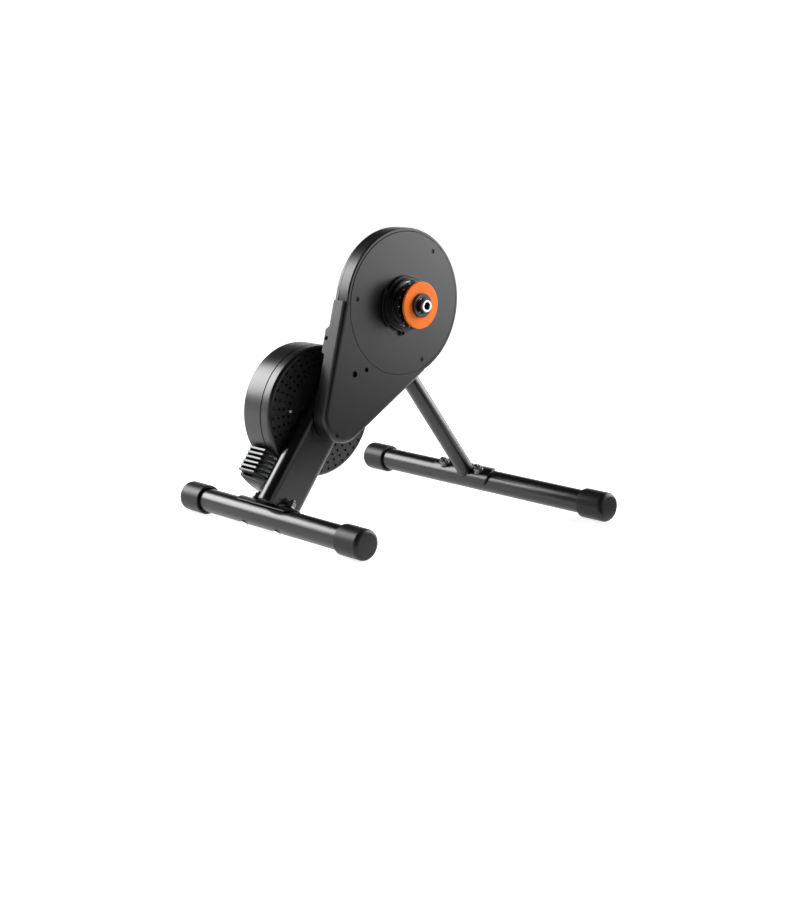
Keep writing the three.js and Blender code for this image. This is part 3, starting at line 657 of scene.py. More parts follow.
@dataclass
class Foot:
    """A foot: its tube, two caps, and the saddle with its bolts and nuts."""

    end: str
    x: float
    low: float
    high: float
    saddle_y: float
    bolt_y: float
    tilt: float
    tube_radius: float = 19.0
    tube_wall: float = 2.0
    cap_radius: float = 23.5
    cap_length: float = 50.0
    cap_end: float = 4.0
    cap_fillet: float = 7.0
    lip_fillet: float = 1.6
    play: float = 0.3
    saddle_inner: float = 19.4
    saddle_thick: float = 3.0
    saddle_wrap: float = 63.0
    saddle_flare: float = 0.9
    half_edge: float = 49.0
    end_bulge: float = 17.0
    bolt_gap: float = 81.0
    nut_corner: float = 7.5
    nut_height: float = 8.4

    def build(self, bench: Bench) -> None:
        """Builds every piece of the foot."""
        level = Place(self.x, 0.0, FOOT_HEIGHT)
        tilted = Place(self.x, 0.0, FOOT_HEIGHT, self.tilt)
        bench.fit(self.tube(), f"{self.end}_foot_tube", level, PAINT)
        bench.fit(self.cap(self.low, -1.0), f"{self.end}_cap_right", level, RUBBER)
        bench.fit(self.cap(self.high, 1.0), f"{self.end}_cap_left", level, RUBBER)
        bench.fit(self.saddle(), f"{self.end}_saddle", tilted, PAINT)
        for side, y in zip(("right", "left"), self.bolt_places()):
            bolt = bench.fit(self.bolt(y), f"{self.end}_foot_bolt_{side}", tilted, BRIGHT)
            bench.mark(bolt, NUT, lambda middle: middle.z > 0.0, tilted)
            bench.fit(self.nut(y), f"{self.end}_foot_nut_{side}", tilted, NUT)

    def bolt_places(self) -> Point:
        """Gives Y of the right bolt and of the left one."""
        return self.bolt_y - self.bolt_gap / 2, self.bolt_y + self.bolt_gap / 2

    def tube(self) -> BMesh:
        """Makes the foot's tube with eased ends."""
        inset = self.cap_end + self.play
        inner = self.tube_radius - self.tube_wall
        return soften(sleeve(inner, self.tube_radius, self.low + inset, self.high - inset), 0.5)

    def cap(self, end: float, towards: float) -> BMesh:
        """Makes a cap that is flat where it stands on the floor.

        Args:
            end: Y of the cap's closed end.
            towards: the side that the closed end faces, -1 or 1.

        Returns:
            The cap.
        """
        outer, length, round_off, lip = self.cap_radius, self.cap_length, self.cap_fillet, self.lip_fillet
        bore = self.tube_radius + self.play
        profile = [(0.0, self.cap_end), (bore, self.cap_end), (bore, length - 0.8), (bore + 0.8, length),
                   *arc(outer - lip, length - lip, lip, 90.0, 0.0, 4),
                   *arc(outer - round_off, round_off, round_off, 0.0, -90.0, 10), (0.0, 0.0)]
        body = turned([(r, end - towards * y) for r, y in profile])
        cut = bmesh.ops.bisect_plane(body, geom=[*body.verts, *body.edges, *body.faces], dist=1e-4,
                                     plane_co=(0, 0, -FOOT_HEIGHT), plane_no=(0, 0, -1), clear_outer=True)
        bmesh.ops.holes_fill(body, edges=of_kind(cut["geom_cut"], BMEdge), sides=0)
        return tidy(body)

    def saddle(self) -> BMesh:
        """Makes the pressed strip that hugs the tube, with bowed ends and a pad under each nut."""
        bm = bmesh.new()
        bmesh.ops.create_grid(bm, x_segments=44, y_segments=40, size=1.0)
        half_width = (self.saddle_inner + self.saddle_thick) * math.sin(math.radians(self.saddle_wrap)) + 0.5
        for vert in bm.verts:
            angle = math.radians(vert.co.x * self.saddle_wrap)
            lift = self.saddle_flare * max(0.0, (abs(vert.co.x) - 0.8) / 0.2) ** 2
            radius = self.saddle_inner + lift
            x = radius * math.sin(angle)
            reach = self.half_edge + self.end_bulge * math.sqrt(max(0.0, 1.0 - (x / half_width) ** 2))
            vert.co = (x, self.saddle_y + vert.co.y * reach, radius * math.cos(angle))
        swell = 1.0 + self.saddle_thick / self.saddle_inner
        bmesh.ops.scale(bm, verts=doubled(bm), vec=(swell, 1.0, swell))
        soften(tidy(bm), 1.0, 3, degrees=50.0)
        pad = [(0.0, 20.0), (8.7, 20.0), (8.7, 22.6), (7.9, 23.4), (0.0, 23.4)]
        return gathered(bm, *[shifted(upright(turned(pad, 48)), 0.0, y, 0.0) for y in self.bolt_places()])

    def bolt(self, y: float) -> BMesh:
        """Makes a dome-headed bolt whose threaded end stands out of the nut."""
        thread = [(4.0 - 0.45 * (i % 2), 31.0 + 0.5 * i) for i in range(9)]
        profile = [(0.0, -23.2), *arc(0.0, -17.5, 5.7, -85.0, -52.0, 5), (5.4, -22.2), (6.6, -20.8),
                   (7.0, -19.6), (4.0, -19.5), *thread, (3.2, 36.0), (0.0, 36.0)]
        return shifted(upright(turned(profile, 40)), 0.0, y, 0.0)

    def nut(self, y: float) -> BMesh:
        """Makes a flanged hexagon nut with chamfered corners."""
        corner, bottom = self.nut_corner, self.saddle_inner + self.saddle_thick + 1.3
        top = bottom + self.nut_height
        blank = extruded(ring_points(corner, 6), bottom + 1.0, top)
        cone = turned([(0.0, bottom), (corner, bottom), (corner, top - 1.1), (6.2, top), (0.0, top)], 48)
        hexagon = carved(blank, cone, operation="INTERSECT")
        flange = turned([(0.0, bottom), (8.2, bottom), (8.4, bottom + 0.3), (8.1, bottom + 0.9),
                         (6.2, bottom + 2.6), (0.0, bottom + 2.6)], 48)
        return shifted(upright(gathered(soften(hexagon, 0.25, 2), flange)), 0.0, y, 0.0)


@dataclass
class Stand:
    """The stem from the rear foot to the hub and the leg from the front foot to the stem."""

    x: float = -2.0
    y: float = 26.0
    half_width: float = 38.0
    half_thick: float = 15.0
    corner: float = 14.0
    low: float = 15.0
    axle_bore: float = 7.8
    carrier_radius: float = 23.0
    carrier_bore: float = 18.0
    leg_y: float = 27.0
    leg_radius: float = 14.3
    leg_low: float = 10.0
    leg_high: float = 345.0
    saddle_radius: float = 22.4
    cope_radius: float = 23.0
    past: float = 60.0

    def build(self, bench: Bench) -> None:
        """Builds the stem, the leg and their weld beads."""
        stem = self.stem()
        skin = stem.copy()
        bmesh.ops.transform(skin, matrix=STEM_FRAME.matrix(), verts=skin.verts)
        tree = BVHTree.FromBMesh(skin)
        skin.free()
        bench.fit(gathered(stem, *self.stem_beads()), "main_stem", STEM_FRAME, PAINT)
        leg = Place(FRONT_X, self.leg_y, FOOT_HEIGHT, -LEG_TILT)
        bench.fit(gathered(self.leg(), *self.leg_beads(leg, tree)), "front_leg", leg, PAINT)

    def stem(self) -> BMesh:
        """Makes the box tube with its round eye for the hub and the flywheel's carrier tube."""
        across, through = self.half_width - self.corner, self.half_thick - self.corner
        bottom = self.low - STEM_FOOT_DISTANCE
        section = [(0.0, -self.half_thick), *arc(across, -through, self.corner, -90.0, 0.0, 12),
                   *arc(across, through, self.corner, 0.0, 90.0, 12), (0.0, self.half_thick)]
        bm = bmesh.new()
        verts, first = wire(bm, ((r, y, 0.0) for r, y in section))
        eye = bmesh.ops.spin(bm, geom=[*verts, *first], cent=(0, 0, 0), axis=(0, 1, 0), dvec=(0, 0, 0),
                             angle=-math.pi, steps=48)
        last = of_kind(eye["geom_last"], BMEdge)
        down = of_kind(bmesh.ops.extrude_edge_only(bm, edges=[*first, *last])["geom"], BMVert)
        bmesh.ops.translate(bm, verts=down, vec=(0.0, 0.0, bottom))
        bmesh.ops.remove_doubles(bm, verts=bm.verts, dist=MERGE)
        bmesh.ops.contextual_create(bm, geom=[e for e in bm.edges if e.is_boundary])
        bmesh.ops.recalc_face_normals(bm, faces=bm.faces)
        soften(bm, 1.0, 2, degrees=60.0, pick=lambda middle: middle.z < bottom + 1.0)
        shifted(bm, self.x, self.y, 0.0)
        cope = shifted(rod(self.cope_radius, -self.past, self.past), 0, 0, -STEM_FOOT_DISTANCE)
        shaft = shifted(rod(self.carrier_bore, 0.0, self.past, 64), 0, 0, -SHAFT_DISTANCE)
        box = carved(bm, cope, rod(self.axle_bore, 0.0, self.past, 48), shaft)
        bore, outer = self.carrier_bore, self.carrier_radius
        ring = turned([(bore, 11.0), (outer - 1.0, 11.0), (outer, 12.0), (outer, 48.2), (outer - 0.8, 49.0),
                       (bore, 49.0)], 72)
        return gathered(box, shifted(ring, 0.0, 0.0, -SHAFT_DISTANCE))

    def stem_beads(self) -> list[BMesh]:
        """Lays the beads between the stem and its saddle, and round the carrier tube."""
        beads = []
        for y in (self.y - self.half_thick, self.y + self.half_thick):
            path = [Vector((x, y, z - STEM_FOOT_DISTANCE)) for x, z in arc(0.0, 0.0, 22.6, 52.0, 128.0, 40)]
            beads.append(bead(path, radius=1.6, closed=False))
        rim = [Vector((x, 41.0, z - SHAFT_DISTANCE)) for x, z in ring_points(self.carrier_radius, 96)]
        return [*beads, bead(rim, radius=1.8)]

    def leg(self) -> BMesh:
        """Makes the leg's tube, coped to the saddle and ending inside the stem."""
        tube = upright(rod(self.leg_radius, self.leg_low, self.leg_high))
        return carved(tube, rod(self.saddle_radius, -self.past, self.past))

    def leg_beads(self, leg: Place, stem: BVHTree) -> list[BMesh]:
        """Lays the beads at the leg's two ends.

        Args:
            leg: the leg's frame.
            stem: the stem's skin in metres.

        Returns:
            The beads, in the leg's frame.
        """
        to_row, to_leg = leg.matrix(), leg.matrix().inverted()
        up = (to_row.to_3x3() @ Vector((0, 0, 1))).normalized()
        top, foot = [], []
        for x, y in ring_points(self.leg_radius, 96):
            hit = stem.ray_cast(to_row @ Vector((x, y, 200.0)), up)[0]
            if hit:
                top.append(to_leg @ hit)
            foot.append(Vector((x, y, math.sqrt(self.saddle_radius ** 2 - x ** 2) + 0.4)))
        return [bead(top, radius=1.9), bead(foot, radius=1.7)]


@dataclass
class BeltHousing:
    """The teardrop housing of the belt: its back, the lower cover and the round cover let into it."""

    top_radius: float = 121.5
    tip_radius: float = 42.5
    face: float = -18.8
    seam: float = 3.0
    back: float = 10.5
    wall: float = 3.0
    edge: float = 7.5
    rim: float = 119.0
    rim_fillet: float = 2.2
    disc: float = 113.0
    disc_bore: float = 38.0
    disc_thick: float = 2.6
    arm_end: float = 62.0
    screw_circle: float = 100.0
    screw_hole: float = 3.3
    first_screw: float = 52.0 + 36.3
    tip_screw: Point = (0.0, -240.0)
    access: tuple[tuple[float, float, float], ...] = (
        (-23.7, -144.0, 4.8), (-6.4, -126.0, 3.4), (0.0, -240.0, 3.3))
    wide: float = 140.0
    past: float = 40.0

    def build(self, bench: Bench) -> None:
        """Builds the three mouldings and their screws."""
        bench.fit(self.lower_cover(), "belt_cover_lower", STEM_FRAME, COVER)
        bench.fit(self.round_cover(), "belt_cover_disc", STEM_FRAME, COVER)
        bench.fit(self.back_shell(), "housing_back", STEM_FRAME, COVER)
        names = ("disc_screw_1", "disc_screw_2", "disc_screw_3", "cover_screw")
        for name, screw in zip(names, copies(self.screw(), self.screw_places())):
            bench.fit(screw, name, STEM_FRAME, DARK)

    def screw_places(self) -> list[Point]:
        """Lists the three screws of the round cover and the one near the housing's tip."""
        return [*ring_points(self.screw_circle, 3, self.first_screw), self.tip_screw]

    def lean(self) -> float:
        """Gives the angle between a flank and the housing's middle line."""
        return math.asin((self.top_radius - self.tip_radius) / SHAFT_DISTANCE)

    def hull(self, offset: float) -> list[Point]:
        """Lists the teardrop outline, grown by an offset."""
        lean = math.degrees(self.lean())
        return [*arc(0.0, 0.0, self.top_radius + offset, -lean, 180.0 + lean, 128),
                *arc(0.0, -SHAFT_DISTANCE, self.tip_radius + offset, 180.0 + lean, 360.0 - lean, 48)]

    def above_arms(self) -> BMesh:
        """Makes the block that takes away everything above the cover's two arms."""
        return block((-self.wide, self.wide), (-self.past, self.past), (-self.arm_end, self.wide))

    def lower_cover(self) -> BMesh:
        """Makes the lower cover, with a rounded front edge, the disc's seat and three access holes."""
        shell = extruded(self.hull(0.0), self.face, self.seam - 0.3)
        soften(shell, self.edge, 7, pick=lambda middle: middle.y < self.face + 0.1)
        inside = extruded(self.hull(-self.wall), self.face + self.wall, self.seam + 2.0)
        radius = self.disc + 0.3
        seat = turned([(0.0, -self.past), (radius + 21.4, -self.past), (radius, self.face + 0.2),
                       (radius, self.past), (0.0, self.past)], 256)
        holes = [shifted(self.countersink(size), x, 0.0, z) for x, z, size in self.access]
        return carved(shell, inside, seat, self.above_arms(), *holes)

    def countersink(self, radius: float) -> BMesh:
        """Makes the cutter of a hole through the face with an eased rim."""
        front, rim, back = self.face - 4.0, self.face + 0.5, self.face + 8.0
        return turned([(0.0, front), (radius + 4.5, front), (radius, rim), (radius, back), (0.0, back)], 40)

    def round_cover(self) -> BMesh:
        """Makes the round cover with its three screw holes."""
        front = self.face - 0.4
        plate = soften(sleeve(self.disc_bore, self.disc, front, front + self.disc_thick, 256), 0.5, 3)
        hole = shifted(self.countersink(self.screw_hole), 0.0, -0.4, 0.0)
        return carved(plate, *copies(hole, self.screw_places()[:3]))

    def back_shell(self) -> BMesh:
        """Makes the housing's back: plate, flange, rim ring, lug and screw posts."""
        plate = extruded(self.hull(-2.5), self.seam + 0.1, self.back)
        soften(plate, 2.5, 4, pick=lambda middle: middle.y > self.back - 0.1)
        flange = extruded(self.hull(0.0), self.seam, self.back)
        soften(flange, 2.0, 4, pick=lambda middle: middle.y > self.back - 0.1)
        flange = carved(flange, self.above_arms())
        inner, outer, fillet = self.disc + 1.0, self.rim, self.rim_fillet
        ring = turned([(inner, self.face), *arc(outer - fillet, self.face + fillet, fillet, -90.0, 0.0, 8),
                       (outer, self.seam - 0.6), (outer - 0.9, self.seam - 0.2),
                       (outer - 0.9, self.seam + 1.0), (inner, self.seam + 1.0)], 256)
        below = block((-self.wide, self.wide), (-self.past, self.seam), (-self.wide, 0.3 - self.arm_end))
        ring = carved(ring, below)
        whole = carved(plate, flange, self.lug(), operation="UNION")
        shaft = shifted(rod(11.0, -10.0, self.past, 48), 0.0, 0.0, -SHAFT_DISTANCE)
        holed = carved(whole, rod(21.5, -10.0, self.past, 48), shaft, self.lug_hole())
        post = sleeve(2.2, 5.0, self.face + 3.6, self.seam + 1.0, 32)
        return gathered(holed, ring, *copies(post, self.screw_places()))

    def flank_x(self, z: float, inward: float = 0.0) -> float:
        """Gives the x of the flank towards the bicycle's rear at a height, moved inward along its normal."""
        return (inward - self.top_radius - z * math.sin(self.lean())) / math.cos(self.lean())

    def lug(self) -> BMesh:
        """Makes the lug: a stretch of the rear flank's wall that reaches deeper towards the stem."""
        low, high, thick = -140.5, -100.0, 7.0
        plan = [(self.flank_x(high), high), (self.flank_x(low), low), (self.flank_x(low, thick), low),
                (self.flank_x(high, thick), high)]
        side = [(self.seam, -93.0), (9.8, -100.0), (15.4, -104.0), (16.2, -104.8), (16.6, -106.4),
                (16.4, -137.5), (15.8, -138.6), (12.6, -139.8), (10.0, -140.4), (self.seam, -141.5)]
        shape = rotated(extruded(side, 60.0, 120.0), 90.0, "Z")
        wall = carved(extruded(plan, self.seam - 1.0, 17.6), shape, operation="INTERSECT")
        return soften(wall, 0.7, 3, pick=lambda middle: middle.y > self.back + 1.0)

    def lug_hole(self) -> BMesh:
        """Makes the cutter of the lug's hole, square to the flank, with an eased rim."""
        height = -117.5
        drill = turned([(0.0, -7.5), (3.1, -7.5), (3.1, -0.5), (4.1, 0.5), (4.1, 3.0), (0.0, 3.0)], 40)
        rotated(drill, 90.0, "Z")
        return shifted(rotated(drill, -math.degrees(self.lean()), "Y"), self.flank_x(height), 11.0, height)

    def screw(self) -> BMesh:
        """Makes a socket screw on the origin, sunk below the face."""
        head, seat, end = self.face + 1.2, self.face + 3.3, self.face + 3.3 + 8.0
        return turned([(0.0, head + 1.2), (1.2, head + 1.2), (1.2, head), (2.5, head), (2.8, head + 0.3),
                       (2.8, seat), (1.7, seat), (1.7, end), (0.0, end)], 36)


@dataclass
class Hub:
    """The hub's collar, drum, guards, cog and axle ends, all turned about the hub's axis."""

    guard: float = 37.0
    guard_face: float = -45.0
    drum_face: float = -27.5
    sector: Point = (149.0, 222.0)
    belt_radius: float = 88.0
    rib_depth: float = 1.6
    ribs: int = 6
    rivets: int = 16
    teeth: int = 14
    chain_pitch: float = 12.7
    cog_y: float = -49.0
    cog_thick: float = 2.2
    cog_bore: float = 17.6
    splines: int = 24
    knurls: int = 96

    def build(self, bench: Bench) -> None:
        """Builds the hub from the housing outwards."""
        bench.fit(self.collar(), "hub_collar", HUB, BLACK)
        bench.fit(self.drum(), "drive_pulley", HUB, DULL_STEEL, "drive")
        guard = bench.fit(self.inner_guard(), "chain_guard_inner", HUB, BLACK, "freehub")
        bench.mark(guard, SATIN, lambda middle: middle.y < self.guard_face - 0.05, HUB)
        bench.fit(self.cog(), "cog", HUB, DARK, "freehub")
        bench.fit(self.outer_guard(), "chain_guard_outer", HUB, ORANGE, "freehub")
        bench.fit(self.lockring(), "lockring", HUB, DARK, "freehub")
        bench.fit(self.locknut(), "axle_locknut", HUB, BLACK)
        bench.fit(self.end_cap(-1.0), "end_cap_right", HUB, SATIN)
        bench.fit(self.end_cap(1.0), "end_cap_left", HUB, SATIN)

    def collar(self) -> BMesh:
        """Makes the fixed collar round the drum, with its raised sector and the screw's ear."""
        ring = turned([(37.6, -19.5), (44.6, -19.5), (44.6, -24.2), (44.0, -24.8), (42.2, -24.8),
                       (41.8, -24.3), (40.6, -24.3), (40.0, -24.9), (40.0, -29.6), (39.4, -30.2),
                       (37.6, -30.2)], 192)
        start, end = self.sector
        plan = [*arc(0, 0, 50.5, start, end, 48), *arc(0, 0, 42.0, end, start, 48)]
        ear = turned([(0.0, -20.0), (2.9, -20.0), (2.9, -23.0), (3.3, -23.4), (4.2, -23.4), (4.6, -23.0),
                      (4.6, -19.5), (0.0, -19.5)], 40)
        return gathered(ring, soften(extruded(plan, -23.4, -19.5), 0.7, 3), shifted(ear, -7.0, 0.0, -46.0))

    def drum(self) -> BMesh:
        """Makes the drive pulley: a ribbed rim, a web and the bright drum, whose front is turned."""
        ribs, rim, front = [], self.belt_radius, self.drum_face
        for i in range(self.ribs):
            crest, valley = -1.0 - i * 10 / self.ribs, -1.0 - (i + 0.5) * 10 / self.ribs
            ribs += [(rim, crest), (rim - self.rib_depth, valley)]
        marks = [(36.2 - 0.25 * i, front + 0.05 * (i % 2)) for i in range(20)]
        profile = [(14.3, 6.0), (20.0, 6.0), (20.0, -4.0), (81.0, -4.0), (81.0, 0.5), (rim, 0.5), *ribs,
                   (rim, -11.0), (rim, -12.5), (81.0, -12.5), (81.0, -8.0), (36.5, -8.0),
                   (36.5, front + 0.3), *marks, (23.0, front), (23.0, -22.5), (14.3, -22.5)]
        return turned(profile, 160)

    def inner_guard(self) -> BMesh:
        """Makes the inner guard with its two rims, a sleeve that enters the drum and a circle of rivets."""
        front = self.guard_face
        guard = turned([(17.5, front), (37.6, front), (38.3, -44.8), (38.6, -44.2), (38.6, -42.5),
                        (38.0, -42.1), (34.4, -42.1), (34.0, -41.6), (34.0, -34.9), (33.5, -34.4),
                        (31.0, -34.4), (31.0, -28.2), (30.6, -27.8), (24.0, -27.8), (24.0, -34.4),
                        (17.5, -34.4)], 160)
        rivet = turned([(0.0, -45.8), (0.5, -45.7), (0.9, -45.3), (1.0, -44.8), (0.0, -44.8)], 16)
        return gathered(guard, *copies(rivet, ring_points(36.3, self.rivets)))

    def cog(self) -> BMesh:
        """Makes the cog from tooth outlines round its pitch circle, on its spacer."""
        pitch_radius = self.chain_pitch / (2 * math.sin(math.pi / self.teeth))
        flank = ((-0.5, -3.7), (-0.42, -3.5), (-0.34, -2.9), (-0.27, -1.6), (-0.2, 0.6), (-0.13, 2.6),
                 (-0.06, 3.4))
        tooth = (*flank, *[(-turn, out) for turn, out in flank[:0:-1]])
        outline = []
        for i in range(self.teeth):
            for turn, out in tooth:
                angle, radius = (i + turn) * 2 * math.pi / self.teeth, pitch_radius + out
                outline.append((radius * math.cos(angle), radius * math.sin(angle)))
        half = self.cog_thick / 2
        plate = extruded(outline, self.cog_y - half, self.cog_y + half, [ring_points(self.cog_bore, 48)])
        return gathered(plate, sleeve(self.cog_bore, 22.0, -52.7, -45.3, 64))

    def outer_guard(self) -> BMesh:
        """Makes the orange guard, slightly dished, with a rounded rim."""
        rim = self.guard
        return turned([(17.5, -56.4), (18.2, -57.0), (rim - 1.4, -57.0), (rim - 0.6, -56.75),
                       (rim - 0.15, -56.2), (rim, -55.5), (rim, -53.8), (rim - 0.6, -53.0),
                       (17.5, -53.0)], 192)

    def lockring(self) -> BMesh:
        """Makes the lockring with its tool notches."""
        ring = turned([(12.2, -57.3), (19.0, -57.3), (19.0, -60.8), (18.7, -61.4), (18.2, -61.6),
                       (12.6, -61.6), (12.2, -61.2)], 96)
        return carved(ring, gathered(*copies(rod(1.0, -70.0, -59.0, 16), ring_points(12.4, 12))))

    def locknut(self) -> BMesh:
        """Makes the axle's locknut with a splined rim."""
        rim = []
        for i in range(self.splines):
            middle = i * 360.0 / self.splines
            rim += arc(0.0, 0.0, 12.0 if i % 2 else 11.0, middle - 5.0, middle + 5.0, 2)
        return soften(extruded(rim, -66.0, -61.9, [ring_points(7.8, 48)]), 0.25, 2, degrees=60.0)

    def end_cap(self, side: float) -> BMesh:
        """Makes an end cap that the frame's dropout clamps, with a knurled rim.

        Args:
            side: -1 for the right end and 1 for the left.

        Returns:
            The cap.
        """
        low, high = 66.3, 71.0
        profile = [(7.8, low), (9.3, low), (9.5, low + 0.3), (9.5, high - 0.7), (9.0, high), (6.7, high),
                   (6.2, high - 0.5), (6.2, high - 1.7), (7.8, high - 1.7)]
        cap = turned([(r, side * y) for r, y in profile], self.knurls)
        for vert in cap.verts:
            if math.hypot(vert.co.x, vert.co.z) > 9.4:
                step = round(math.atan2(vert.co.z, vert.co.x) / (2 * math.pi) * self.knurls)
                ease = 1.0 - 0.03 * (step % 2)
                vert.co.x *= ease
                vert.co.z *= ease
        return cap


@dataclass
class BrakeUnit:
    """The two covers round the flywheel, the perforated plate and the status light."""

    radius: float = 104.0
    wall: float = 3.0
    face: float = 42.0
    seam: float = 62.8
    seam_gap: float = 1.0
    seam_depth: float = 1.8
    outer: float = 108.0
    plate: float = 98.0
    plate_bore: float = 23.9
    screw_bore: float = 1.9
    screw_margin: float = 6.0
    rows: int = 40
    rings: tuple[float, ...] = (65.0, 75.0, 85.0, 95.0)
    hole: float = 2.25
    windows: Point = (109.6 + 36.3, 115.4 + 36.3)
    screws: tuple[Point, ...] = ((-53.4, -29.8), (53.4, 29.8))
    socket: Point = (-20.0, -78.0)

    def build(self, bench: Bench) -> None:
        """Builds the covers, the plate and the small pieces in them."""
        bench.fit(self.inner_cover(), "brake_cover_inner", SHAFT_FRAME, BAND)
        bench.fit(self.outer_cover(), "brake_cover_outer", SHAFT_FRAME, BAND)
        bench.fit(self.vent_plate(), "vent_plate", SHAFT_FRAME, PLATE)
        bench.fit(self.status_light(), "status_light", SHAFT_FRAME, DARK_LENS)
        bench.fit(self.power_socket(), "power_socket", SHAFT_FRAME, BLACK)
        for i, screw in enumerate(copies(self.plate_screw(), self.screws)):
            bench.fit(screw, f"vent_screw_{i + 1}", SHAFT_FRAME, SATIN)

    def window_block(self, angle: float, low: float, high: float, y: Point, half: float) -> BMesh:
        """Makes a radial block at an angle in degrees, between two radii."""
        return rotated(block((low, high), y, (-half, half)), -angle, "Y")

    def inner_cover(self) -> BMesh:
        """Makes the cover that faces the stem, with two windows for the light."""
        r, inside, groove = self.radius, self.radius - self.wall, self.radius - self.seam_depth
        lip, ledge, high, low = self.plate + 0.3, self.plate - 4.0, self.seam, self.face
        profile = [(inside, high), (groove, high), (groove, high - 0.5), (r - 0.2, high - 0.5),
                   (r, high - 0.7), *arc(r - 6.0, low + 6.0, 6.0, 0.0, -70.0, 8), (lip + 0.4, low),
                   (lip, low + 0.4), (lip, low + 3.0), (ledge, low + 3.0), (ledge, low + 5.5),
                   (inside, low + 5.5)]
        cuts = [self.window_block(angle, 96.0, 110.0, (48.7, 52.8), 1.9) for angle in self.windows]
        return carved(turned(profile, 256), *cuts)

    def outer_cover(self) -> BMesh:
        """Makes the drum-shaped cover of the far side, with its socket hole and posts."""
        r, inside, groove = self.radius, self.radius - self.wall, self.radius - self.seam_depth
        low, high, under = self.seam + self.seam_gap, self.outer, self.outer - self.wall
        profile = [(0.0, high - 0.6), (60.0, high - 0.6), (61.0, high), (r - 5.0, high),
                   *arc(r - 5.0, high - 5.0, 5.0, 90.0, 0.0, 8), (r, low + 0.7), (r - 0.2, low + 0.5),
                   (groove, low + 0.5), (groove, low), (inside, low), (inside, high - 7.0),
                   (inside - 4.0, under), (0.0, under)]
        cover = carved(turned(profile, 256), *copies(rod(6.3, 80.0, 113.0, 48), [self.socket]))
        stator_posts = copies(rod(4.0, 91.3, 106.0, 32), ring_points(55.0, 3, 90.0))
        board_places = [(88.0 * math.cos(angle), 88.0 * math.sin(angle)) for angle in (0.7, 2.0)]
        return gathered(cover, *stator_posts, *copies(rod(3.0, 81.9, 106.0, 32), board_places))

    def vent_plate(self) -> BMesh:
        """Makes the plate with its rows of round holes and two screw holes."""
        holes = [ring_points(self.plate_bore, 64)]
        for row in range(self.rows):
            angle = 2 * math.pi * row / self.rows + FRAME_TILT
            for radius in self.rings:
                x, z = radius * math.cos(angle), radius * math.sin(angle)
                if all(math.hypot(x - sx, z - sz) > self.screw_margin for sx, sz in self.screws):
                    holes.append([(x + a, z + b) for a, b in ring_points(self.hole, 10)])
        holes += [[(x + a, z + b) for a, b in ring_points(self.screw_bore, 16)] for x, z in self.screws]
        return extruded(ring_points(self.plate, 192), self.face + 0.4, self.face + 2.6, holes)

    def status_light(self) -> BMesh:
        """Makes the light guide with its two windows."""
        deep = (49.0, 52.5)
        guide = self.window_block(sum(self.windows) / 2, 97.0, 100.2, deep, 7.5)
        panes = [self.window_block(angle, 98.0, self.radius - 0.2, deep, 1.6) for angle in self.windows]
        return gathered(*[soften(part, 0.4, 2) for part in (guide, *panes)])

    def power_socket(self) -> BMesh:
        """Makes the power inlet: a sleeve round a contact pin."""
        rim, floor = self.outer - 0.2, self.outer - 9.0
        profile = [(0.0, 88.0), (6.0, 88.0), (6.0, rim - 0.3), (5.7, rim), (4.8, rim), (4.5, rim - 0.3),
                   (4.5, floor), (1.0, floor), (1.0, rim - 1.4), (0.6, rim - 1.0), (0.0, rim - 1.0)]
        return shifted(turned(profile, 48), self.socket[0], 0.0, self.socket[1])

    def plate_screw(self) -> BMesh:
        """Makes a domed screw of the plate with a hexagon socket."""
        seat = self.face + 0.1
        return turned([(0.0, seat - 0.6), (1.2, seat - 0.6), (1.2, seat - 1.75), (2.0, seat - 1.6),
                       (2.7, seat - 1.1), (3.0, seat - 0.4), (3.0, seat), (1.5, seat), (1.5, seat + 4.0),
                       (0.0, seat + 4.0)], 36)


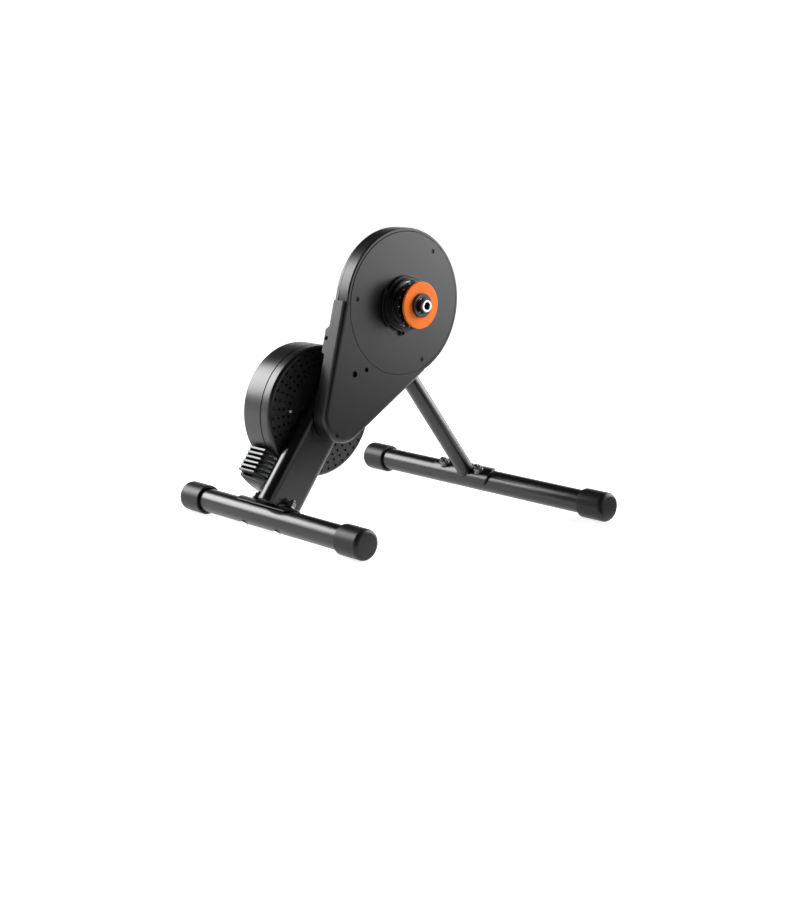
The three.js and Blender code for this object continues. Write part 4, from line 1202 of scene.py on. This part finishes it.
@dataclass
class HeatSink:
    """The finned block that carries the electromagnets' heat away under the brake unit."""

    count: int = 6
    pitch: float = 7.63
    thick: float = 3.4
    first: float = 97.6
    reach: float = 49.3
    root: float = 31.0
    low: float = 46.0
    high: float = 98.0
    bottom_radius: float = 150.0
    front: float = 40.0
    seat_radius: float = 104.7
    corner: tuple[Point, ...] = ((-54.3, 0.0), (-33.0, 0.0), (-33.0, 45.0), (-49.3, 60.0), (-54.3, 62.0))
    foot: tuple[Point, ...] = ((-54.3, 0.0), (-31.3, 0.0), (-31.3, 45.0), (-41.1, 99.0), (-54.3, 99.0))
    recess: tuple[Point, ...] = ((-54.3, 0.0), (-27.0, 0.0), (-27.0, 45.0), (-31.0, 92.0), (-54.3, 92.0))

    def build(self, bench: Bench) -> None:
        """Builds the heat sink."""
        bench.fit(self.block(), "heat_sink", SHAFT_FRAME, ALLOY, crease=28.0)

    def block(self) -> BMesh:
        """Makes the block from its side outline, then mills the slots, the corner and the brake's seat."""
        start = math.degrees(math.pi + math.acos((self.reach - 2.5) / self.bottom_radius))
        end = 360.0 - math.degrees(math.acos(self.front / self.bottom_radius))
        side = -math.sqrt(self.bottom_radius ** 2 - self.reach ** 2) + 4.0
        outline = [(-self.reach, -self.first), (-self.reach, side),
                   *arc(0.0, 0.0, self.bottom_radius, start, end, 40), (self.front, 10.0 - self.first)]
        last = -self.first - self.thick - self.pitch * (self.count - 1)
        cutters = [rod(self.seat_radius, 0.0, 140.0, 256), self.column(self.corner, last, 0.0),
                   self.column(self.foot, -200.0, last), self.column(self.recess, last - 3.6, last)]
        for i in range(self.count - 1):
            top = -self.first - self.thick - self.pitch * i
            low = top - (self.pitch - self.thick)
            cutters.append(block((-80.0, -self.root), (0.0, 95.5), (low, top)))
            cutters.append(block((-80.0, -47.6), (95.0, 140.0), (low, top)))
        return soften(carved(extruded(outline, self.low, self.high), *cutters), 0.45, 2, degrees=40.0)

    def column(self, plan: Sequence[Point], low: float, high: float) -> BMesh:
        """Makes an upright cutter from its plan in X and Y, between two heights."""
        return rotated(extruded([(x, -y) for x, y in plan], low, high), 90.0, "X")


class InnerDrive:
    """The pieces behind the covers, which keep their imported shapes."""

    def dress(self, bench: Bench) -> None:
        """Gives the inner pieces their finishes."""
        bench.dress(BRIGHT, "hub_axle", "hub_bearing_left", "hub_bearing_right", "freehub_bearing",
                    "tensioner_bolt", "flywheel_shaft", "shaft_bearing_right", "shaft_bearing_left",
                    "flywheel_nut")
        bench.dress(DARK, "left_spacer", "freehub_body", "tensioner_arm")
        bench.dress(CAST, "flywheel_pulley", "flywheel", "brake_stator")
        bench.dress(BLACK, "idler_roller")
        bench.dress(BELT, "drive_belt")
        bench.dress(LAMINATE, "control_board")


@dataclass(frozen=True)
class Lamp:
    """A soft lamp with a wide face, aimed at the trainer's middle."""

    name: str
    azimuth: float
    elevation: float
    distance: float
    width: float
    height: float
    power: float


@dataclass
class Studio:
    """The camera, the sweep of floor and backdrop, the lamps, the cards and the sky."""

    target: tuple[float, float, float] = (0.017, 0.0, 0.190484)
    azimuth: float = -42.81
    elevation: float = 9.6726
    distance: float = 2.51843
    lens: float = 62.94
    shift: Point = (0.0044, -0.0606)
    near_glow: float = 0.8
    far_glow: float = 1.0
    lamps: tuple[Lamp, ...] = (Lamp("softbox_rear_left", -153.0, 26.0, 2.6, 1.25, 1.3, 66.0),
                               Lamp("softbox_right", 68.0, 23.0, 2.0, 2.0, 1.8, 76.0))

    def build(self) -> None:
        """Builds the studio and sets the scene's camera and view."""
        self.sweep()
        self.cards()
        self.sky()
        for lamp in self.lamps:
            self.hang(lamp)
        self.camera()
        bpy.context.scene.view_settings.view_transform = "Standard"

    def aimed(self, azimuth: float, elevation: float, distance: float) -> Matrix:
        """Gives a place round the trainer's middle whose Z axis points away from it.

        Args:
            azimuth: the direction in degrees, from the trainer's right side.
            elevation: the height over the middle in degrees.
            distance: the distance from the middle.

        Returns:
            The matrix of that place.
        """
        az, el = math.radians(azimuth), math.radians(elevation)
        out = Vector((math.sin(az) * math.cos(el), -math.cos(az) * math.cos(el), math.sin(el)))
        turn = out.to_track_quat("Z", "Y").to_matrix().to_4x4()
        return Matrix.Translation(Vector(self.target) + out * distance) @ turn

    def camera(self) -> None:
        """Makes the camera at the photograph's place."""
        data = bpy.data.cameras.new("camera")
        data.lens = self.lens
        data.sensor_width = 36.0
        data.shift_x, data.shift_y = self.shift
        view = linked("camera", data)
        view.matrix_world = self.aimed(self.azimuth, self.elevation, self.distance)
        bpy.context.scene.camera = view

    def hang(self, lamp: Lamp) -> None:
        """Hangs one lamp."""
        data = bpy.data.lights.new(lamp.name, "AREA")
        data.shape = "RECTANGLE"
        data.size = lamp.width
        data.size_y = lamp.height
        data.energy = lamp.power
        linked(lamp.name, data).matrix_world = self.aimed(lamp.azimuth, lamp.elevation, lamp.distance)

    def cards(self) -> None:
        """Sets a black card behind the camera and one before the trainer, which only reflections see."""
        paint, shader = new_material("black_flock")
        feed(shader, {"Base Color": (0.004, 0.004, 0.004, 1.0), "Roughness": 1.0})
        behind = self.aimed(self.azimuth, elevation=14.0, distance=3.3) @ Matrix.Diagonal((1.5, 0.85, 1.0, 1.0))
        before = Matrix.Translation((-0.45, -1.25, 0.002)) @ Matrix.Diagonal((1.45, 0.95, 1.0, 1.0))
        for name, place in (("card_behind", behind), ("card_before", before)):
            bm = bmesh.new()
            bmesh.ops.create_grid(bm, x_segments=1, y_segments=1, size=1.0)
            bmesh.ops.transform(bm, matrix=place, verts=bm.verts)
            card = as_object(bm, name)
            card.visible_camera = card.visible_diffuse = card.visible_shadow = False
            card.data.materials.append(paint)

    def sweep(self) -> None:
        """Makes the floor, which curves up into a backdrop all round."""
        radius, curve, height = 7000.0, 900.0, 2600.0
        bend = arc(radius - curve, curve, curve, -90.0, 0.0, 12)
        profile = [(0.0, 0.0), (1500.0, 0.0), *bend, (radius, height)]
        bm = bmesh.new()
        verts, edges = wire(bm, ((r, 0.0, z) for r, z in profile))
        bmesh.ops.spin(bm, geom=[*verts, *edges], cent=(0, 0, 0), axis=(0, 0, 1), dvec=(0, 0, 0),
                       angle=2 * math.pi, steps=96, use_merge=True)
        bmesh.ops.remove_doubles(bm, verts=bm.verts, dist=MERGE)
        bmesh.ops.transform(bm, matrix=Place(0.0, 0.0, -0.2).matrix(), verts=bm.verts)
        for face in bm.faces:
            face.smooth = True
        floor = as_object(bm, "studio_sweep")
        floor.data.materials.append(self.sweep_paint())

    def sweep_paint(self) -> Material:
        """Makes the sweep's white paint, which the camera and mirrors see grow white with distance."""
        paint, shader = new_material("studio_white")
        tree = paint.node_tree
        place = add_node(tree, "TexCoord").outputs["Object"]
        away = add_node(tree, "VectorMath", {0: place}, operation="LENGTH")
        glow = add_node(tree, "MapRange", {
            "Value": away.outputs["Value"], "From Min": 0.8, "From Max": 3.2, "To Min": self.near_glow,
            "To Max": self.far_glow}, interpolation_type="SMOOTHSTEP")
        rays = add_node(tree, "LightPath").outputs
        seen = rays["Is Camera Ray"]
        for name in ("Is Glossy Ray", "Is Transmission Ray"):
            seen = add_node(tree, "Math", {0: seen, 1: rays[name]}, operation="MAXIMUM").outputs["Value"]
        shown = add_node(tree, "Math", {0: glow.outputs["Result"], 1: seen}, operation="MULTIPLY")
        feed(shader, {
            "Base Color": (0.86, 0.86, 0.86, 1.0), "Roughness": 0.9, "Specular IOR Level": 0.1,
            "Emission Strength": 1.0, "Emission Color": shown.outputs["Value"]})
        return paint

    def sky(self) -> None:
        """Makes the grey light of the room above the sweep."""
        world = bpy.data.worlds.new("room")
        world.use_nodes = True
        feed(world.node_tree.nodes["Background"], {"Color": (0.5, 0.51, 0.53, 1.0), "Strength": 0.1})
        bpy.context.scene.world = world


def main() -> None:
    """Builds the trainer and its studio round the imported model."""
    logging.basicConfig(level=logging.INFO, format="%(message)s", stream=sys.stdout)
    for leftover in list(bpy.data.objects):
        bpy.data.objects.remove(leftover)
    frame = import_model()
    Studio().build()
    bench = Bench(frame["nodes"])
    InnerDrive().dress(bench)
    Foot("rear", REAR_X, -191.0, 242.0, 46.0, 42.5, FRAME_TILT).build(bench)
    Foot("front", FRONT_X, -280.0, 280.0, 33.0, 34.0, -LEG_TILT).build(bench)
    for assembly in (Stand(), BeltHousing(), Hub(), BrakeUnit(), HeatSink()):
        assembly.build(bench)


if __name__ == "__main__":
    main()
